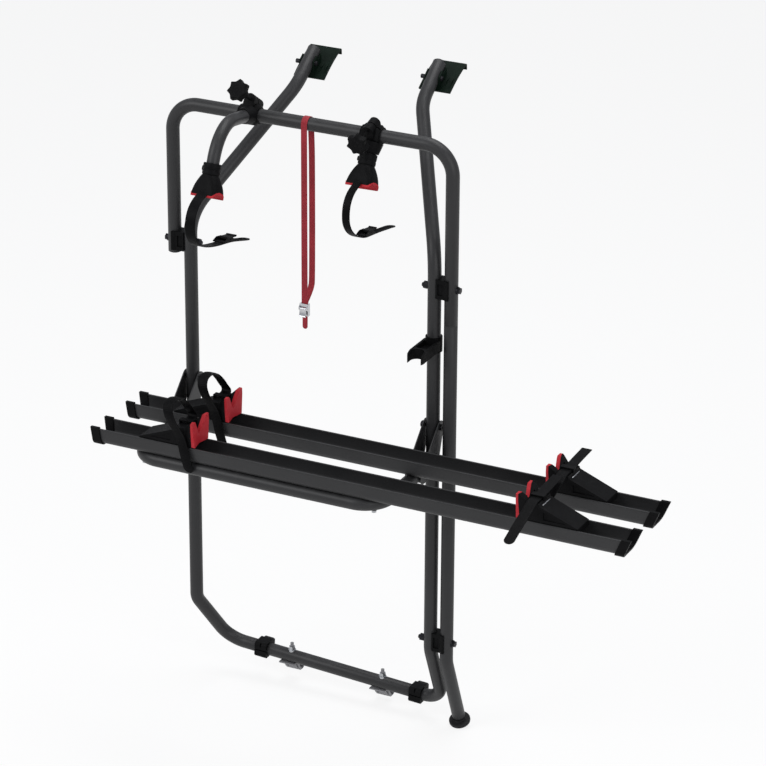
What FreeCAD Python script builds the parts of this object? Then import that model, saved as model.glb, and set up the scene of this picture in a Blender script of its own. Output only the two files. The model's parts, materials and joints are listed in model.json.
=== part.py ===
import FreeCAD, Part
import math
import os
from FreeCAD import Vector as V

# Van rear door bike rack, in millimetres, +Z up.
# All shapes are drawn in a working frame with X = 0 midway between the two outer tubes,
# Y = 0 in the plane of the tubes and +Y towards the van, Z = 0 at the lips of the wheel rails.
# Every shape is moved to the part frame just before it is exported.

# Tubes
TUBE_R = 15.0
TUBE_WALL = 1.75
BORE_DEPTH = 38.0
OUTER_X = 339.25
INNER_X = 299.3
TOP_BAR_Z = 679.0
HOOP_CORNER_R = 65.0
HOOP_LEFT_END_Z = 329.0
HOOP_RIGHT_END_Z = 277.0
LEG_KNEE_Z = -540.0
LEG_FOOT_Y = 60.0
LEG_FOOT_Z = -704.0
KNEE_R = 60.0
KNEE_R_LEFT = 42.0
LEG_FOOT_X = 344.0

# Inner frame
BEND_LOW_Z = 422.5
BEND_TOP_X = 154.5
BEND_TOP_Y = 231.3
BEND_TOP_Z_LEFT = 673.6
BEND_TOP_Z_RIGHT = 680.4
TUBE_END_Y = 318.0
TUBE_END_Z_LEFT = 732.6
TUBE_END_Z_RIGHT = 746.7
BEND_R = 110.0
INNER_KNEE_Z_LEFT = -523.0
INNER_KNEE_Z_RIGHT = -517.0
BAR_Y = 70.0
BAR_LEFT_X = -253.0
BAR_LEFT_Z = -649.0
BAR_RIGHT_Z = -680.0
BAR_CORNER_R = 45.0
SLEEVE_LEFT_X = -162.0
SLEEVE_RIGHT_X = 236.0
SLEEVE_LEN = 30.0
SLEEVE_W = 39.0
SLEEVE_H = 38.0
SPIGOT_R = 13.2
SPIGOT_LEN = 70.0

# Couplings between the outer and the inner tubes
COUPLING_H = 44.0
COUPLING_R = 18.5
COUPLING_Z_LEFT = 358.0
COUPLING_Z_UPPER = 359.0
COUPLING_Z_LOWER = -491.0
BOLT_R = 4.0
BOLT_HOLE_R = 4.2

# Folding platform
PIVOT_Z = 31.0
ARM_Z = -53.5
PLATFORM_BAR_Y = -270.0
PLATFORM_CORNER_R = 60.0
ARM_START_Y = -17.0
EAR_INNER = 16.5
EAR_T = 2.8
EAR_R = 15.5
EAR_END_Y = -82.0

# Wheel rails
RAIL_LEN = 1280.0
RAIL_LEFT_X = -395.6
RAIL_BACK_Y = -100.0
RAIL_FRONT_Y = -253.5
RAIL_HALF = 31.5
RAIL_DEPTH = 38.5
RAIL_WALL = 2.4
RAIL_CORNER_R = 15.0
RAIL_LEFT_SLANT = 5.0
RAIL_RIGHT_SLANT = 16.0
CAP_LEN = 19.0
CAP_RISE = 2.4
CAP_T = 2.6

# Wheel holders
HOLDER_LEFT_X = -139.0
HOLDER_RIGHT_X = RAIL_LEFT_X + RAIL_LEN - 255.4
HOLDER_LEN = 138.0
JAW_HALF = 37.0
JAW_TIP_Z = 60.0
JAW_NOTCH_Z = 22.0
JAW_PLAN_V = 4.0
JAW_LINER_T = 9.0
NECK_START_LEFT = 21.5
NECK_START_RIGHT = 22.5
NECK_TOP = 43.5
NECK_LEN = 26.0
WHEEL_STRAP_W = 24.0
HOOP_LEAN = 0.25
WHEEL_STRAP_T = 2.4

# Bike arms on the top bar
BUSH_R = 16.95
BUSH_LEN = 48.0
CLAMP_W = 44.0
CLAMP_R = 23.5
ARM_A_X = -122.6
ARM_A_ROOT_X = -141.0
CLAMP_A_X = -145.5
CLAMP_B_X = 150.0
ARM_B_X = 152.0
ARM_TUBE_R = 14.0
ARM_TUBE_WALL = 1.5
ARM_BEND_R = 90.0
JAW_A_Y = -240.0
JAW_A_DROP = 110.0
JAW_A_TILT = 23.0
JAW_A_YAW = -14.0
JAW_B_Y = -58.0
JAW_B_DROP = 101.0
JAW_B_TILT = 28.0
JAW_B_YAW = -12.0
KNOB_A_ANGLE = 146.0
KNOB_A_REACH = 74.0
KNOB_A_OFFSET = -27.5
KNOB_B_ANGLE = 196.0
KNOB_B_REACH = 60.0
KNOB_B_OFFSET = -20.8
JAW_H = 74.0
JAW_W = 68.0
JAW_D = 42.0
COLLAR_R = 19.5
COLLAR_H = 26.0
TUBE_IN_JAW = 40.0
KNOB_R = 25.0
KNOB_LOBES = 7
ARM_STRAP_T = 2.6
ARM_STRAP_W_A = 24.0
ARM_STRAP_W_B = 18.0

# Top hooks
HOOK_W = 76.0
HOOK_LEFT_OF_TUBE = 30.5
HOOK_T = 4.0
HOOK_NEAR_Y = 277.0
HOOK_EDGE_Y = 358.0
HOOK_NEAR_Z_LEFT = 679.0
HOOK_NEAR_Z_RIGHT = 695.5
HOOK_EDGE_Z_LEFT = 726.0
HOOK_EDGE_Z_RIGHT = 737.0
HOOK_BULGE = 4.0
HOOK_LIP = 11.0
HOOK_BOLT_Y = 286.0
HOOK_SEAT_Y = 344.0
HOOK_PAD_T = 2.4

# Lower hooks
LOW_HOOK_LEFT_X = -88.0
LOW_HOOK_RIGHT_X = 146.0
LOW_HOOK_SIDE = 8.0
LOW_HOOK_W = 40.0
LOW_HOOK_T = 3.0

# Snap clip
CLIP_Z = 227.0
CLIP_H = 24.0
CLIP_T = 3.8

# Security strap
WEB_X = -7.0
WEB_W = 14.6
WEB_T = 1.6
WEB_BUCKLE_Z = 253.0
WEB_TIP_Z = 204.0

# Part frame: midway between the top hooks, at the seat on the top edge of the door
def hook_z(y, near_z, edge_z):
    # middle of the hook plate at y
    t = (y - HOOK_NEAR_Y) / (HOOK_EDGE_Y - HOOK_NEAR_Y)
    return near_z + (edge_z - near_z) * t + 4.0 * HOOK_BULGE * t * (1.0 - t)


seat_z = 0.5 * (hook_z(HOOK_SEAT_Y, HOOK_NEAR_Z_LEFT, HOOK_EDGE_Z_LEFT)
                + hook_z(HOOK_SEAT_Y, HOOK_NEAR_Z_RIGHT, HOOK_EDGE_Z_RIGHT)) - 0.5 * HOOK_T - HOOK_PAD_T
ORIGIN = V(0.0, HOOK_SEAT_Y, seat_z)

X = V(1, 0, 0)
Y = V(0, 1, 0)
Z = V(0, 0, 1)

os.makedirs("parts", exist_ok=True)


def save(name, *shapes):
    solids = []
    for shape in shapes:
        solids.extend(shape.Solids)
    moved = []
    for solid in solids:
        solid = solid.copy()
        solid.translate(V(-ORIGIN.x, -ORIGIN.y, -ORIGIN.z))
        moved.append(solid)
    out = moved[0] if len(moved) == 1 else Part.makeCompound(moved)
    out.exportStep("parts/%s.step" % name)


def box(x0, x1, y0, y1, z0, z1):
    return Part.makeBox(x1 - x0, y1 - y0, z1 - z0, V(x0, y0, z0))


def rod(p, q, r):
    d = q.sub(p)
    return Part.makeCylinder(r, d.Length, p, d)


def ring(p, q, r_out, r_in):
    d = q.sub(p)
    e = V(d.x / d.Length, d.y / d.Length, d.z / d.Length)
    hole = rod(p.sub(e), q.add(e), r_in)
    return rod(p, q, r_out).cut(hole)


def unit(a):
    return V(a.x / a.Length, a.y / a.Length, a.z / a.Length)


def bent_rod(points, radii, r):
    # round bar of straight cylinders and tangent bends
    out = None
    last = points[0]
    for k in range(1, len(points) - 1):
        a = unit(points[k - 1].sub(points[k]))
        b = unit(points[k + 1].sub(points[k]))
        half = 0.5 * a.getAngle(b)
        reach = radii[k - 1] / math.tan(half)
        p = points[k].add(V(a.x * reach, a.y * reach, a.z * reach))
        q = points[k].add(V(b.x * reach, b.y * reach, b.z * reach))
        mid_dir = unit(a.add(b))
        centre_len = radii[k - 1] / math.sin(half)
        centre = points[k].add(V(mid_dir.x * centre_len, mid_dir.y * centre_len, mid_dir.z * centre_len))
        axis = a.cross(b)
        disc = Part.Face(Part.Wire([Part.makeCircle(r, p, a)]))
        turn = 180.0 - math.degrees(2.0 * half)
        bend = disc.revolve(centre, V(-axis.x, -axis.y, -axis.z), turn)
        piece = rod(last, p, r)
        out = piece if out is None else out.fuse(piece)
        out = out.fuse(bend)
        last = q
    piece = rod(last, points[-1], r)
    return piece if out is None else out.fuse(piece)


def tube(points, radii, r=TUBE_R, wall=TUBE_WALL):
    # bent tube, bored at both ends to the depth of the plugs and spigots
    body = bent_rod(points, radii, r)
    for a, b in ((points[0], points[1]), (points[-1], points[-2])):
        e = unit(b.sub(a))
        depth = min(BORE_DEPTH, 0.5 * b.sub(a).Length)
        bore = rod(a.sub(V(e.x, e.y, e.z)), a.add(V(e.x * depth, e.y * depth, e.z * depth)), r - wall)
        body = body.cut(bore)
    return body


def straight_tube(a, b, r=TUBE_R, wall=TUBE_WALL):
    return ring(a, b, r, r - wall)


def prism_yz(points, x0, x1):
    pts = [V(x0, p[0], p[1]) for p in points]
    face = Part.Face(Part.makePolygon(pts + [pts[0]]))
    return face.extrude(V(x1 - x0, 0, 0))


def prism_xy(points, z0, z1):
    pts = [V(p[0], p[1], z0) for p in points]
    face = Part.Face(Part.makePolygon(pts + [pts[0]]))
    return face.extrude(V(0, 0, z1 - z0))


def prism_xz(points, y0, y1):
    pts = [V(p[0], y0, p[1]) for p in points]
    face = Part.Face(Part.makePolygon(pts + [pts[0]]))
    return face.extrude(V(0, y1 - y0, 0))


def hull(rounds):
    # outline round a set of circles, walked with the monotone chain method
    pts = []
    for cy, cz, r in rounds:
        for k in range(20):
            a = 2.0 * math.pi * k / 20.0
            pts.append((cy + r * math.cos(a), cz + r * math.sin(a)))
    pts.sort()

    def half(points):
        chain = []
        for q in points:
            while len(chain) > 1:
                ax = chain[-1][0] - chain[-2][0]
                ay = chain[-1][1] - chain[-2][1]
                bx = q[0] - chain[-2][0]
                by = q[1] - chain[-2][1]
                if ax * by - ay * bx > 1e-9:
                    break
                chain.pop()
            chain.append(q)
        return chain[:-1]

    return half(pts) + half(pts[::-1])


def hexagon(p, direction, across, height):
    r = across / math.sqrt(3.0)
    pts = []
    for k in range(7):
        a = math.radians(60.0 * (k % 6))
        pts.append(V(r * math.cos(a), r * math.sin(a), 0))
    body = Part.Face(Part.makePolygon(pts)).extrude(V(0, 0, height))
    return place(body, p, direction)


def place(shape, p, direction):
    shape = shape.copy()
    rotation = FreeCAD.Rotation(V(0, 0, 1), direction)
    shape.Placement = FreeCAD.Placement(p, rotation).multiply(shape.Placement)
    return shape


def strip(points, width, thick, x_mid, lean=0.0, z_still=0.0):
    # flat strap: a centre line in the YZ plane, given thickness and extruded along X;
    # with a lean its sides shift along X in step with the height above z_still
    up = []
    down = []
    n = len(points)
    for k in range(n):
        a = points[max(k - 1, 0)]
        b = points[min(k + 1, n - 1)]
        dy = b[0] - a[0]
        dz = b[1] - a[1]
        length = math.hypot(dy, dz)
        ny = -dz / length * 0.5 * thick
        nz = dy / length * 0.5 * thick
        for side, out in ((1, up), (-1, down)):
            z = points[k][1] + side * nz
            out.append(V(x_mid - 0.5 * width - lean * (z - z_still), points[k][0] + side * ny, z))
    loop = up + down[::-1]
    face = Part.Face(Part.makePolygon(loop + [loop[0]]))
    return face.extrude(V(width, 0, 0))


# Frame tubes
bar_slope = (BAR_RIGHT_Z - BAR_LEFT_Z) / (INNER_X - BAR_LEFT_X)


def bar_point(x):
    return V(x, BAR_Y, BAR_LEFT_Z + bar_slope * (x - BAR_LEFT_X))


left_top = V(-BEND_TOP_X, TUBE_END_Y, TUBE_END_Z_LEFT)
right_top = V(BEND_TOP_X, TUBE_END_Y, TUBE_END_Z_RIGHT)
left_bend = V(-BEND_TOP_X, BEND_TOP_Y, BEND_TOP_Z_LEFT)
right_bend = V(BEND_TOP_X, BEND_TOP_Y, BEND_TOP_Z_RIGHT)
inner_left = tube(
    [left_top, left_bend, V(-INNER_X, 0, BEND_LOW_Z), V(-INNER_X, 0, INNER_KNEE_Z_LEFT),
     bar_point(BAR_LEFT_X), bar_point(SLEEVE_LEFT_X)],
    [BEND_R, BEND_R, KNEE_R_LEFT, KNEE_R])
inner_right = tube(
    [right_top, right_bend, V(INNER_X, 0, BEND_LOW_Z), V(INNER_X, 0, INNER_KNEE_Z_RIGHT),
     bar_point(INNER_X), bar_point(SLEEVE_RIGHT_X)],
    [BEND_R, BEND_R, KNEE_R, BAR_CORNER_R])
bottom_bar = straight_tube(bar_point(SLEEVE_LEFT_X), bar_point(SLEEVE_RIGHT_X))
outer_hoop = tube(
    [V(-OUTER_X, 0, HOOP_LEFT_END_Z), V(-OUTER_X, 0, TOP_BAR_Z), V(OUTER_X, 0, TOP_BAR_Z),
     V(OUTER_X, 0, HOOP_RIGHT_END_Z)],
    [HOOP_CORNER_R, HOOP_CORNER_R])
outer_right_leg = tube(
    [V(OUTER_X, 0, HOOP_RIGHT_END_Z), V(OUTER_X, 0, LEG_KNEE_Z), V(LEG_FOOT_X, LEG_FOOT_Y, LEG_FOOT_Z)],
    [KNEE_R])

# Holes for the cross bolts
coupling_places = [(-1, COUPLING_Z_LEFT), (1, COUPLING_Z_UPPER), (1, COUPLING_Z_LOWER)]
for side, z in coupling_places:
    drill = rod(V(side * (INNER_X - 30), 0, z), V(side * (OUTER_X + 30), 0, z), BOLT_HOLE_R)
    if side < 0:
        inner_left = inner_left.cut(drill)
        outer_hoop = outer_hoop.cut(drill)
    else:
        inner_right = inner_right.cut(drill)
        if z > HOOP_RIGHT_END_Z:
            outer_hoop = outer_hoop.cut(drill)
        else:
            outer_right_leg = outer_right_leg.cut(drill)
for side in (-1, 1):
    drill = rod(V(side * (INNER_X - 25), 0, PIVOT_Z), V(side * (INNER_X + 18), 0, PIVOT_Z), BOLT_HOLE_R)
    if side < 0:
        inner_left = inner_left.cut(drill)
    else:
        inner_right = inner_right.cut(drill)
for x in (LOW_HOOK_LEFT_X, LOW_HOOK_RIGHT_X):
    c = bar_point(x)
    bottom_bar = bottom_bar.cut(rod(c.add(V(0, 0, -30)), c.add(V(0, 0, 30)), BOLT_HOLE_R))

# Spigots inside the butt joints
bar_dir = unit(bar_point(100).sub(bar_point(0)))


def along_bar(x, t):
    c = bar_point(x)
    return c.add(V(bar_dir.x * t, bar_dir.y * t, bar_dir.z * t))


spigots = []
for x, reach in ((SLEEVE_LEFT_X, 0.5 * SPIGOT_LEN), (SLEEVE_RIGHT_X, 0.5 * SLEEVE_LEN)):
    spigots.append(ring(along_bar(x, -0.5 * SPIGOT_LEN), along_bar(x, reach), SPIGOT_R, SPIGOT_R - 2.0))
spigots.append(ring(V(OUTER_X, 0, HOOP_RIGHT_END_Z - 0.5 * SPIGOT_LEN),
                    V(OUTER_X, 0, HOOP_RIGHT_END_Z + 0.5 * SPIGOT_LEN), SPIGOT_R, SPIGOT_R - 2.0))

# Plugs in the open tube ends
plugs = []


def plug(end, inward, dome=7.0):
    # disc inside the tube and a low dome that closes its end
    e = unit(inward)
    stem = rod(end, end.add(V(e.x * 12, e.y * 12, e.z * 12)), TUBE_R - TUBE_WALL - 0.05)
    ball_r = (TUBE_R * TUBE_R + dome * dome) / (2.0 * dome)
    ball = Part.makeSphere(ball_r, V(0, 0, dome - ball_r))
    ball = ball.common(Part.makeCylinder(TUBE_R, TUBE_R, V(0, 0, 0), V(0, 0, 1)))
    cap = place(ball, end, V(-e.x, -e.y, -e.z))
    return stem.fuse(cap)


plugs.append(plug(left_top, left_bend.sub(left_top)))
plugs.append(plug(right_top, right_bend.sub(right_top)))
plugs.append(plug(V(-OUTER_X, 0, HOOP_LEFT_END_Z), V(0, 0, 1), 4.0))

# Couplings: a saddle that half wraps the outer tube and meets the inner one
couplings = []
coupling_bolts = []
coupling_nuts = []
for side, z in coupling_places:
    z0 = z - 0.5 * COUPLING_H
    outer_axis = V(side * OUTER_X, 0, z0)
    body = Part.makeCylinder(COUPLING_R, COUPLING_H, outer_axis)
    x_in = side * (INNER_X + 10.0)
    x_mid = side * (OUTER_X - 1.0)
    lo = min(x_in, x_mid)
    hi = max(x_in, x_mid)
    web = box(lo, hi, -15.5, 15.5, z0, z0 + COUPLING_H)
    body = body.common(box(min(side * OUTER_X, side * (OUTER_X - 30)), max(side * OUTER_X, side * (OUTER_X - 30)),
                           -30, 30, z0, z0 + COUPLING_H))
    body = body.fuse(web)
    body = body.cut(Part.makeCylinder(TUBE_R + 0.05, COUPLING_H + 2, V(side * OUTER_X, 0, z0 - 1)))
    body = body.cut(Part.makeCylinder(TUBE_R + 0.05, COUPLING_H + 2, V(side * INNER_X, 0, z0 - 1)))
    for sign in (-1, 1):
        groove = box(lo + 2, hi - 2, min(sign * 13.0, sign * 17.0), max(sign * 13.0, sign * 17.0),
                     z - 13, z + 13)
        body = body.cut(groove.common(box(side * (INNER_X + 20.0) - 6, side * (INNER_X + 20.0) + 6,
                                          -20, 20, z - 14, z + 14)))
    body = body.cut(rod(V(side * (INNER_X - 30), 0, z), V(side * (OUTER_X + 30), 0, z), BOLT_HOLE_R))
    couplings.append(body)
    # bolt with a washer and a hexagon head outside the outer tube
    head_x = side * (OUTER_X + TUBE_R)
    washer = rod(V(head_x - side * 3.0, 0, z), V(head_x + side * 1.6, 0, z), 8.5)
    washer = washer.cut(Part.makeCylinder(TUBE_R + 0.02, 60, V(side * OUTER_X, 0, z - 30)))
    head = hexagon(V(head_x + side * 1.6, 0, z), V(side, 0, 0), 13.0, 5.6)
    shank = rod(V(head_x + side * 1.6, 0, z), V(side * (INNER_X - TUBE_R - 9.5), 0, z), BOLT_R)
    coupling_bolts.append(head.fuse(shank).fuse(washer))
    # domed nut on the inner side, seated on the round of the tube
    nut_x = side * (INNER_X - TUBE_R + 3.0)
    nut_end = side * (INNER_X - TUBE_R - 13.0)
    nut = hexagon(V(nut_x, 0, z), V(-side, 0, 0), 16.0, 12.0)
    nut = nut.fuse(Part.makeCone(7.6, 4.0, 6.0, V(side * (INNER_X - TUBE_R - 8.0), 0, z), V(-side, 0, 0)))
    nut = nut.cut(Part.makeCylinder(TUBE_R + 0.02, 60, V(side * INNER_X, 0, z - 30)))
    nut = nut.cut(rod(V(nut_x + side * 3, 0, z), V(side * (INNER_X - TUBE_R - 9.6), 0, z), BOLT_R + 0.03))
    coupling_nuts.append(nut)

# Pad clamps and door pads on the bottom bar
pad_clamps = []
door_pads = []
for x in (SLEEVE_LEFT_X, SLEEVE_RIGHT_X):
    c = bar_point(x)
    block = box(-0.5 * SLEEVE_LEN, 0.5 * SLEEVE_LEN, -0.5 * SLEEVE_W, 0.5 * SLEEVE_W, -0.5 * SLEEVE_H, 0.5 * SLEEVE_H)
    edges = [e for e in block.Edges if abs(e.tangentAt(e.FirstParameter).x) > 0.9]
    block = block.makeChamfer(5.0, edges)
    block = block.cut(rod(V(-30, 0, 0), V(30, 0, 0), TUBE_R + 0.05))
    slit = box(-20, 20, -30, -10, -1.2, 1.2)
    block = block.cut(slit)
    block = block.cut(rod(V(0, -17.6, -30), V(0, -17.6, 30), 2.2).common(box(-9, 9, -30, 30, 8, 30)))
    pad = box(-0.5 * SLEEVE_LEN + 1, 0.5 * SLEEVE_LEN - 1, 0.5 * SLEEVE_W, 0.5 * SLEEVE_W + 11, -15, 15)
    edges = [e for e in pad.Edges if abs(e.tangentAt(e.FirstParameter).y) > 0.9]
    pad = pad.makeFillet(5.0, edges)
    top_edges = [e for e in pad.Edges if e.CenterOfMass.y > 0.5 * SLEEVE_W + 10.9]
    pad = pad.makeChamfer(2.5, top_edges)
    placement = FreeCAD.Placement(c, FreeCAD.Rotation(V(1, 0, 0), bar_dir))
    block.Placement = placement
    pad.Placement = placement
    pad_clamps.append(block)
    door_pads.append(pad)

# Lower door hooks: a bent plate with a welded stud that goes up through the bottom bar
hook_nuts = []


def low_hook(x):
    c = bar_point(x)
    top = c.z - TUBE_R - 0.6
    line = [(c.y - 13.0, top - 1.5), (c.y + 5.0, top - 1.5), (c.y + 24.0, top - 30.0),
            (c.y + 35.0, top - 31.0), (c.y + 38.0, top - 21.0)]
    xp = x - LOW_HOOK_SIDE
    plate = strip(line, LOW_HOOK_W, LOW_HOOK_T, xp)
    taper = prism_xz([(xp - 0.5 * LOW_HOOK_W, top + 5), (xp + 0.5 * LOW_HOOK_W, top + 5),
                      (xp + 0.5 * LOW_HOOK_W, top - 26), (xp + 0.5 * LOW_HOOK_W - 6, top - 40),
                      (xp - 0.5 * LOW_HOOK_W + 6, top - 40), (xp - 0.5 * LOW_HOOK_W, top - 26)], c.y - 30, c.y + 60)
    plate = plate.common(taper)
    stud = rod(V(x, c.y, top - 3.5), V(x, c.y, c.z + TUBE_R + 18.5), BOLT_R)
    collar = rod(V(x, c.y, top - 3.0), V(x, c.y, top - 5.5), 7.0)
    for sign in (-1, 1):
        rib = prism_yz([(c.y + 2.0, top - 3.0), (c.y + 21.0, top - 28.0), (c.y + 12.0, top - 20.0)],
                       xp + sign * 13.0 - 1.2, xp + sign * 13.0 + 1.2)
        plate = plate.fuse(rib)
    return plate.fuse(stud).fuse(collar)


for x in (LOW_HOOK_LEFT_X, LOW_HOOK_RIGHT_X):
    c = bar_point(x)
    base = c.z + TUBE_R
    washer = rod(V(x, c.y, base - 4.0), V(x, c.y, base + 1.6), 9.0)
    nut = hexagon(V(x, c.y, base + 1.6), V(0, 0, 1), 13.0, 8.0)
    nut = nut.fuse(washer)
    p = along_bar(x, -30)
    q = along_bar(x, 30)
    nut = nut.cut(rod(p, q, TUBE_R + 0.02))
    nut = nut.cut(rod(V(x, c.y, base - 5), V(x, c.y, base + 20), BOLT_R + 0.05))
    hook_nuts.append(nut)

# Top hooks
hook_plates = []
hook_pads = []
hook_bolts = []
hook_sets = ((-1, left_top, left_bend, HOOK_NEAR_Z_LEFT, HOOK_EDGE_Z_LEFT),
             (1, right_top, right_bend, HOOK_NEAR_Z_RIGHT, HOOK_EDGE_Z_RIGHT))
for side, top, bend, near_z, edge_z in hook_sets:
    e = unit(top.sub(bend))
    tx = side * BEND_TOP_X
    x0 = tx - HOOK_LEFT_OF_TUBE
    x1 = x0 + HOOK_W
    line = []
    for k in range(9):
        y = HOOK_NEAR_Y + (HOOK_EDGE_Y - HOOK_NEAR_Y) * k / 8.0
        line.append((y, hook_z(y, near_z, edge_z)))
    plate = strip(line, HOOK_W, HOOK_T, 0.5 * (x0 + x1))
    lip_top = edge_z + 0.5 * HOOK_T
    lip = prism_yz([(HOOK_EDGE_Y - 2.0, lip_top - 0.8), (HOOK_EDGE_Y + 2.0, lip_top), (HOOK_EDGE_Y + 5.0, lip_top - 2.0),
                    (HOOK_EDGE_Y + 6.0, lip_top - HOOK_LIP - 3.0), (HOOK_EDGE_Y + 2.6, lip_top - HOOK_LIP - 3.0),
                    (HOOK_EDGE_Y + 1.6, lip_top - HOOK_T - 1.0), (HOOK_EDGE_Y - 2.0, lip_top - HOOK_T - 1.0)], x0, x1)
    plate = plate.fuse(lip)
    half = TUBE_R + 3.5

    def axis_z(y, bend=bend, e=e):
        return bend.z + (y - bend.y) * e.z / e.y

    # saddle between the plate and the underside of the tube
    y_a = HOOK_NEAR_Y + 1.0
    y_b = TUBE_END_Y - 2.0
    saddle = prism_yz([(y_a, axis_z(y_a) - 6.0), (y_b, axis_z(y_b) - 6.0), (y_b, hook_z(y_b, near_z, edge_z)),
                       (0.5 * (y_a + y_b), hook_z(0.5 * (y_a + y_b), near_z, edge_z)),
                       (y_a, hook_z(y_a, near_z, edge_z))], tx - half, tx + half)
    f0 = HOOK_BOLT_Y - 8.5
    f1 = HOOK_BOLT_Y + 16.0
    flange = prism_yz([(f0, axis_z(f0) - 7.0), (f1, axis_z(f1) - 7.0), (f1 - 6.0, axis_z(f1 - 6.0) + 8.0),
                       (f0 + 3.0, axis_z(f0 + 3.0) + 9.0)], tx - half, tx + half)
    body = plate.fuse(saddle).fuse(flange)
    for k in range(2):
        xr = tx + half + 7.0 + 12.0 * k
        rib_pts = [(line[0][0] + 2.0, line[0][1] + 1.0), (line[4][0], line[4][1] + 1.0), (line[2][0], line[2][1] + 7.0)]
        body = body.fuse(prism_yz(rib_pts, xr, xr + 2.4))
    p = bend.sub(V(e.x * 20, e.y * 20, e.z * 20))
    q = top.add(V(e.x * 12.0, e.y * 12.0, e.z * 12.0))
    body = body.cut(rod(p, q, TUBE_R + 0.05))
    body = body.cut(box(tx - TUBE_R, tx + TUBE_R, f0 - 30.0, f1 + 12.0, axis_z(f0) + 3.0, axis_z(f1) + 60.0))
    cross_z = axis_z(HOOK_BOLT_Y)
    drill = rod(V(tx - 40, HOOK_BOLT_Y, cross_z), V(tx + 40, HOOK_BOLT_Y, cross_z), 3.2)
    body = body.cut(drill)
    if side < 0:
        inner_left = inner_left.cut(drill)
    else:
        inner_right = inner_right.cut(drill)
    body = max(body.Solids, key=lambda s_: s_.Volume)
    hook_plates.append(body)
    shank = rod(V(tx - half, HOOK_BOLT_Y, cross_z), V(tx + half + 5.0, HOOK_BOLT_Y, cross_z), 3.0)
    head = rod(V(tx - half - 10.0, HOOK_BOLT_Y, cross_z), V(tx - half, HOOK_BOLT_Y, cross_z), 5.0)
    head = head.cut(hexagon(V(tx - half - 11.0, HOOK_BOLT_Y, cross_z), X, 5.0, 5.5))
    nut = hexagon(V(tx + half, HOOK_BOLT_Y, cross_z), X, 10.0, 5.0)
    hook_bolts.append(shank.fuse(head).fuse(nut))
    # rubber lining under the plate
    drop = 0.5 * HOOK_T + 0.5 * HOOK_PAD_T
    pad_line = [(p_[0], p_[1] - drop - 0.45) for p_ in line[5:8]]
    hook_pads.append(strip(pad_line, HOOK_W - 6.0, HOOK_PAD_T, 0.5 * (x0 + x1)))

# Snap clip for the folded platform
clip_axis_y = -(PIVOT_Z - ARM_Z)
z0 = CLIP_Z - 0.5 * CLIP_H
band = Part.makeCylinder(TUBE_R + CLIP_T, CLIP_H + 10, V(INNER_X, 0, z0 - 5))
neck = box(INNER_X - TUBE_R - CLIP_T, INNER_X + TUBE_R + CLIP_T, clip_axis_y, -8.0, z0, z0 + CLIP_H)
cup = Part.makeCylinder(TUBE_R + CLIP_T + 0.3, CLIP_H, V(INNER_X, clip_axis_y, z0))
prongs = box(INNER_X - TUBE_R - CLIP_T - 0.3, INNER_X + TUBE_R + CLIP_T + 0.3, clip_axis_y - 13.5, clip_axis_y,
             z0, z0 + CLIP_H)
cup = cup.common(box(INNER_X - 30, INNER_X + 30, clip_axis_y, clip_axis_y + 30, z0, z0 + CLIP_H)).fuse(prongs)
clip = band.fuse(neck).fuse(cup)
for lo, hi in ((-1.0, 0.5 * CLIP_H - 1.5), (0.5 * CLIP_H + 1.5, CLIP_H + 1.0)):
    clip = clip.cut(box(INNER_X - 13.5, INNER_X + 13.5, clip_axis_y + TUBE_R + 4.2, -TUBE_R - 4.2, z0 + lo, z0 + hi))
clip = clip.cut(Part.makeCylinder(TUBE_R + 0.05, CLIP_H + 20, V(INNER_X, 0, z0 - 10)))
clip = clip.cut(Part.makeCylinder(TUBE_R + 0.4, CLIP_H + 2, V(INNER_X, clip_axis_y, z0 - 1)))
clip = clip.cut(box(INNER_X - TUBE_R - 0.4, INNER_X + TUBE_R + 0.4, clip_axis_y - 20, clip_axis_y,
                    z0 - 1, z0 + CLIP_H + 1))
for sign in (-1, 1):
    tip_x = INNER_X + sign * (TUBE_R + CLIP_T + 0.3)
    chamfer = prism_xy([(tip_x + sign * 1, clip_axis_y - 15), (tip_x - sign * 3.0, clip_axis_y - 15),
                        (tip_x + sign * 1, clip_axis_y - 6)], z0 - 1, z0 + CLIP_H + 1)
    clip = clip.cut(chamfer)
clip = clip.cut(box(INNER_X - 22, INNER_X - 14, 13.5, 30, z0 - 6, z0 + CLIP_H + 6))
# the front rail passes it when the platform folds up
clip = clip.common(rod(V(-400, 0, PIVOT_Z), V(400, 0, PIVOT_Z), 223.2))

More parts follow.
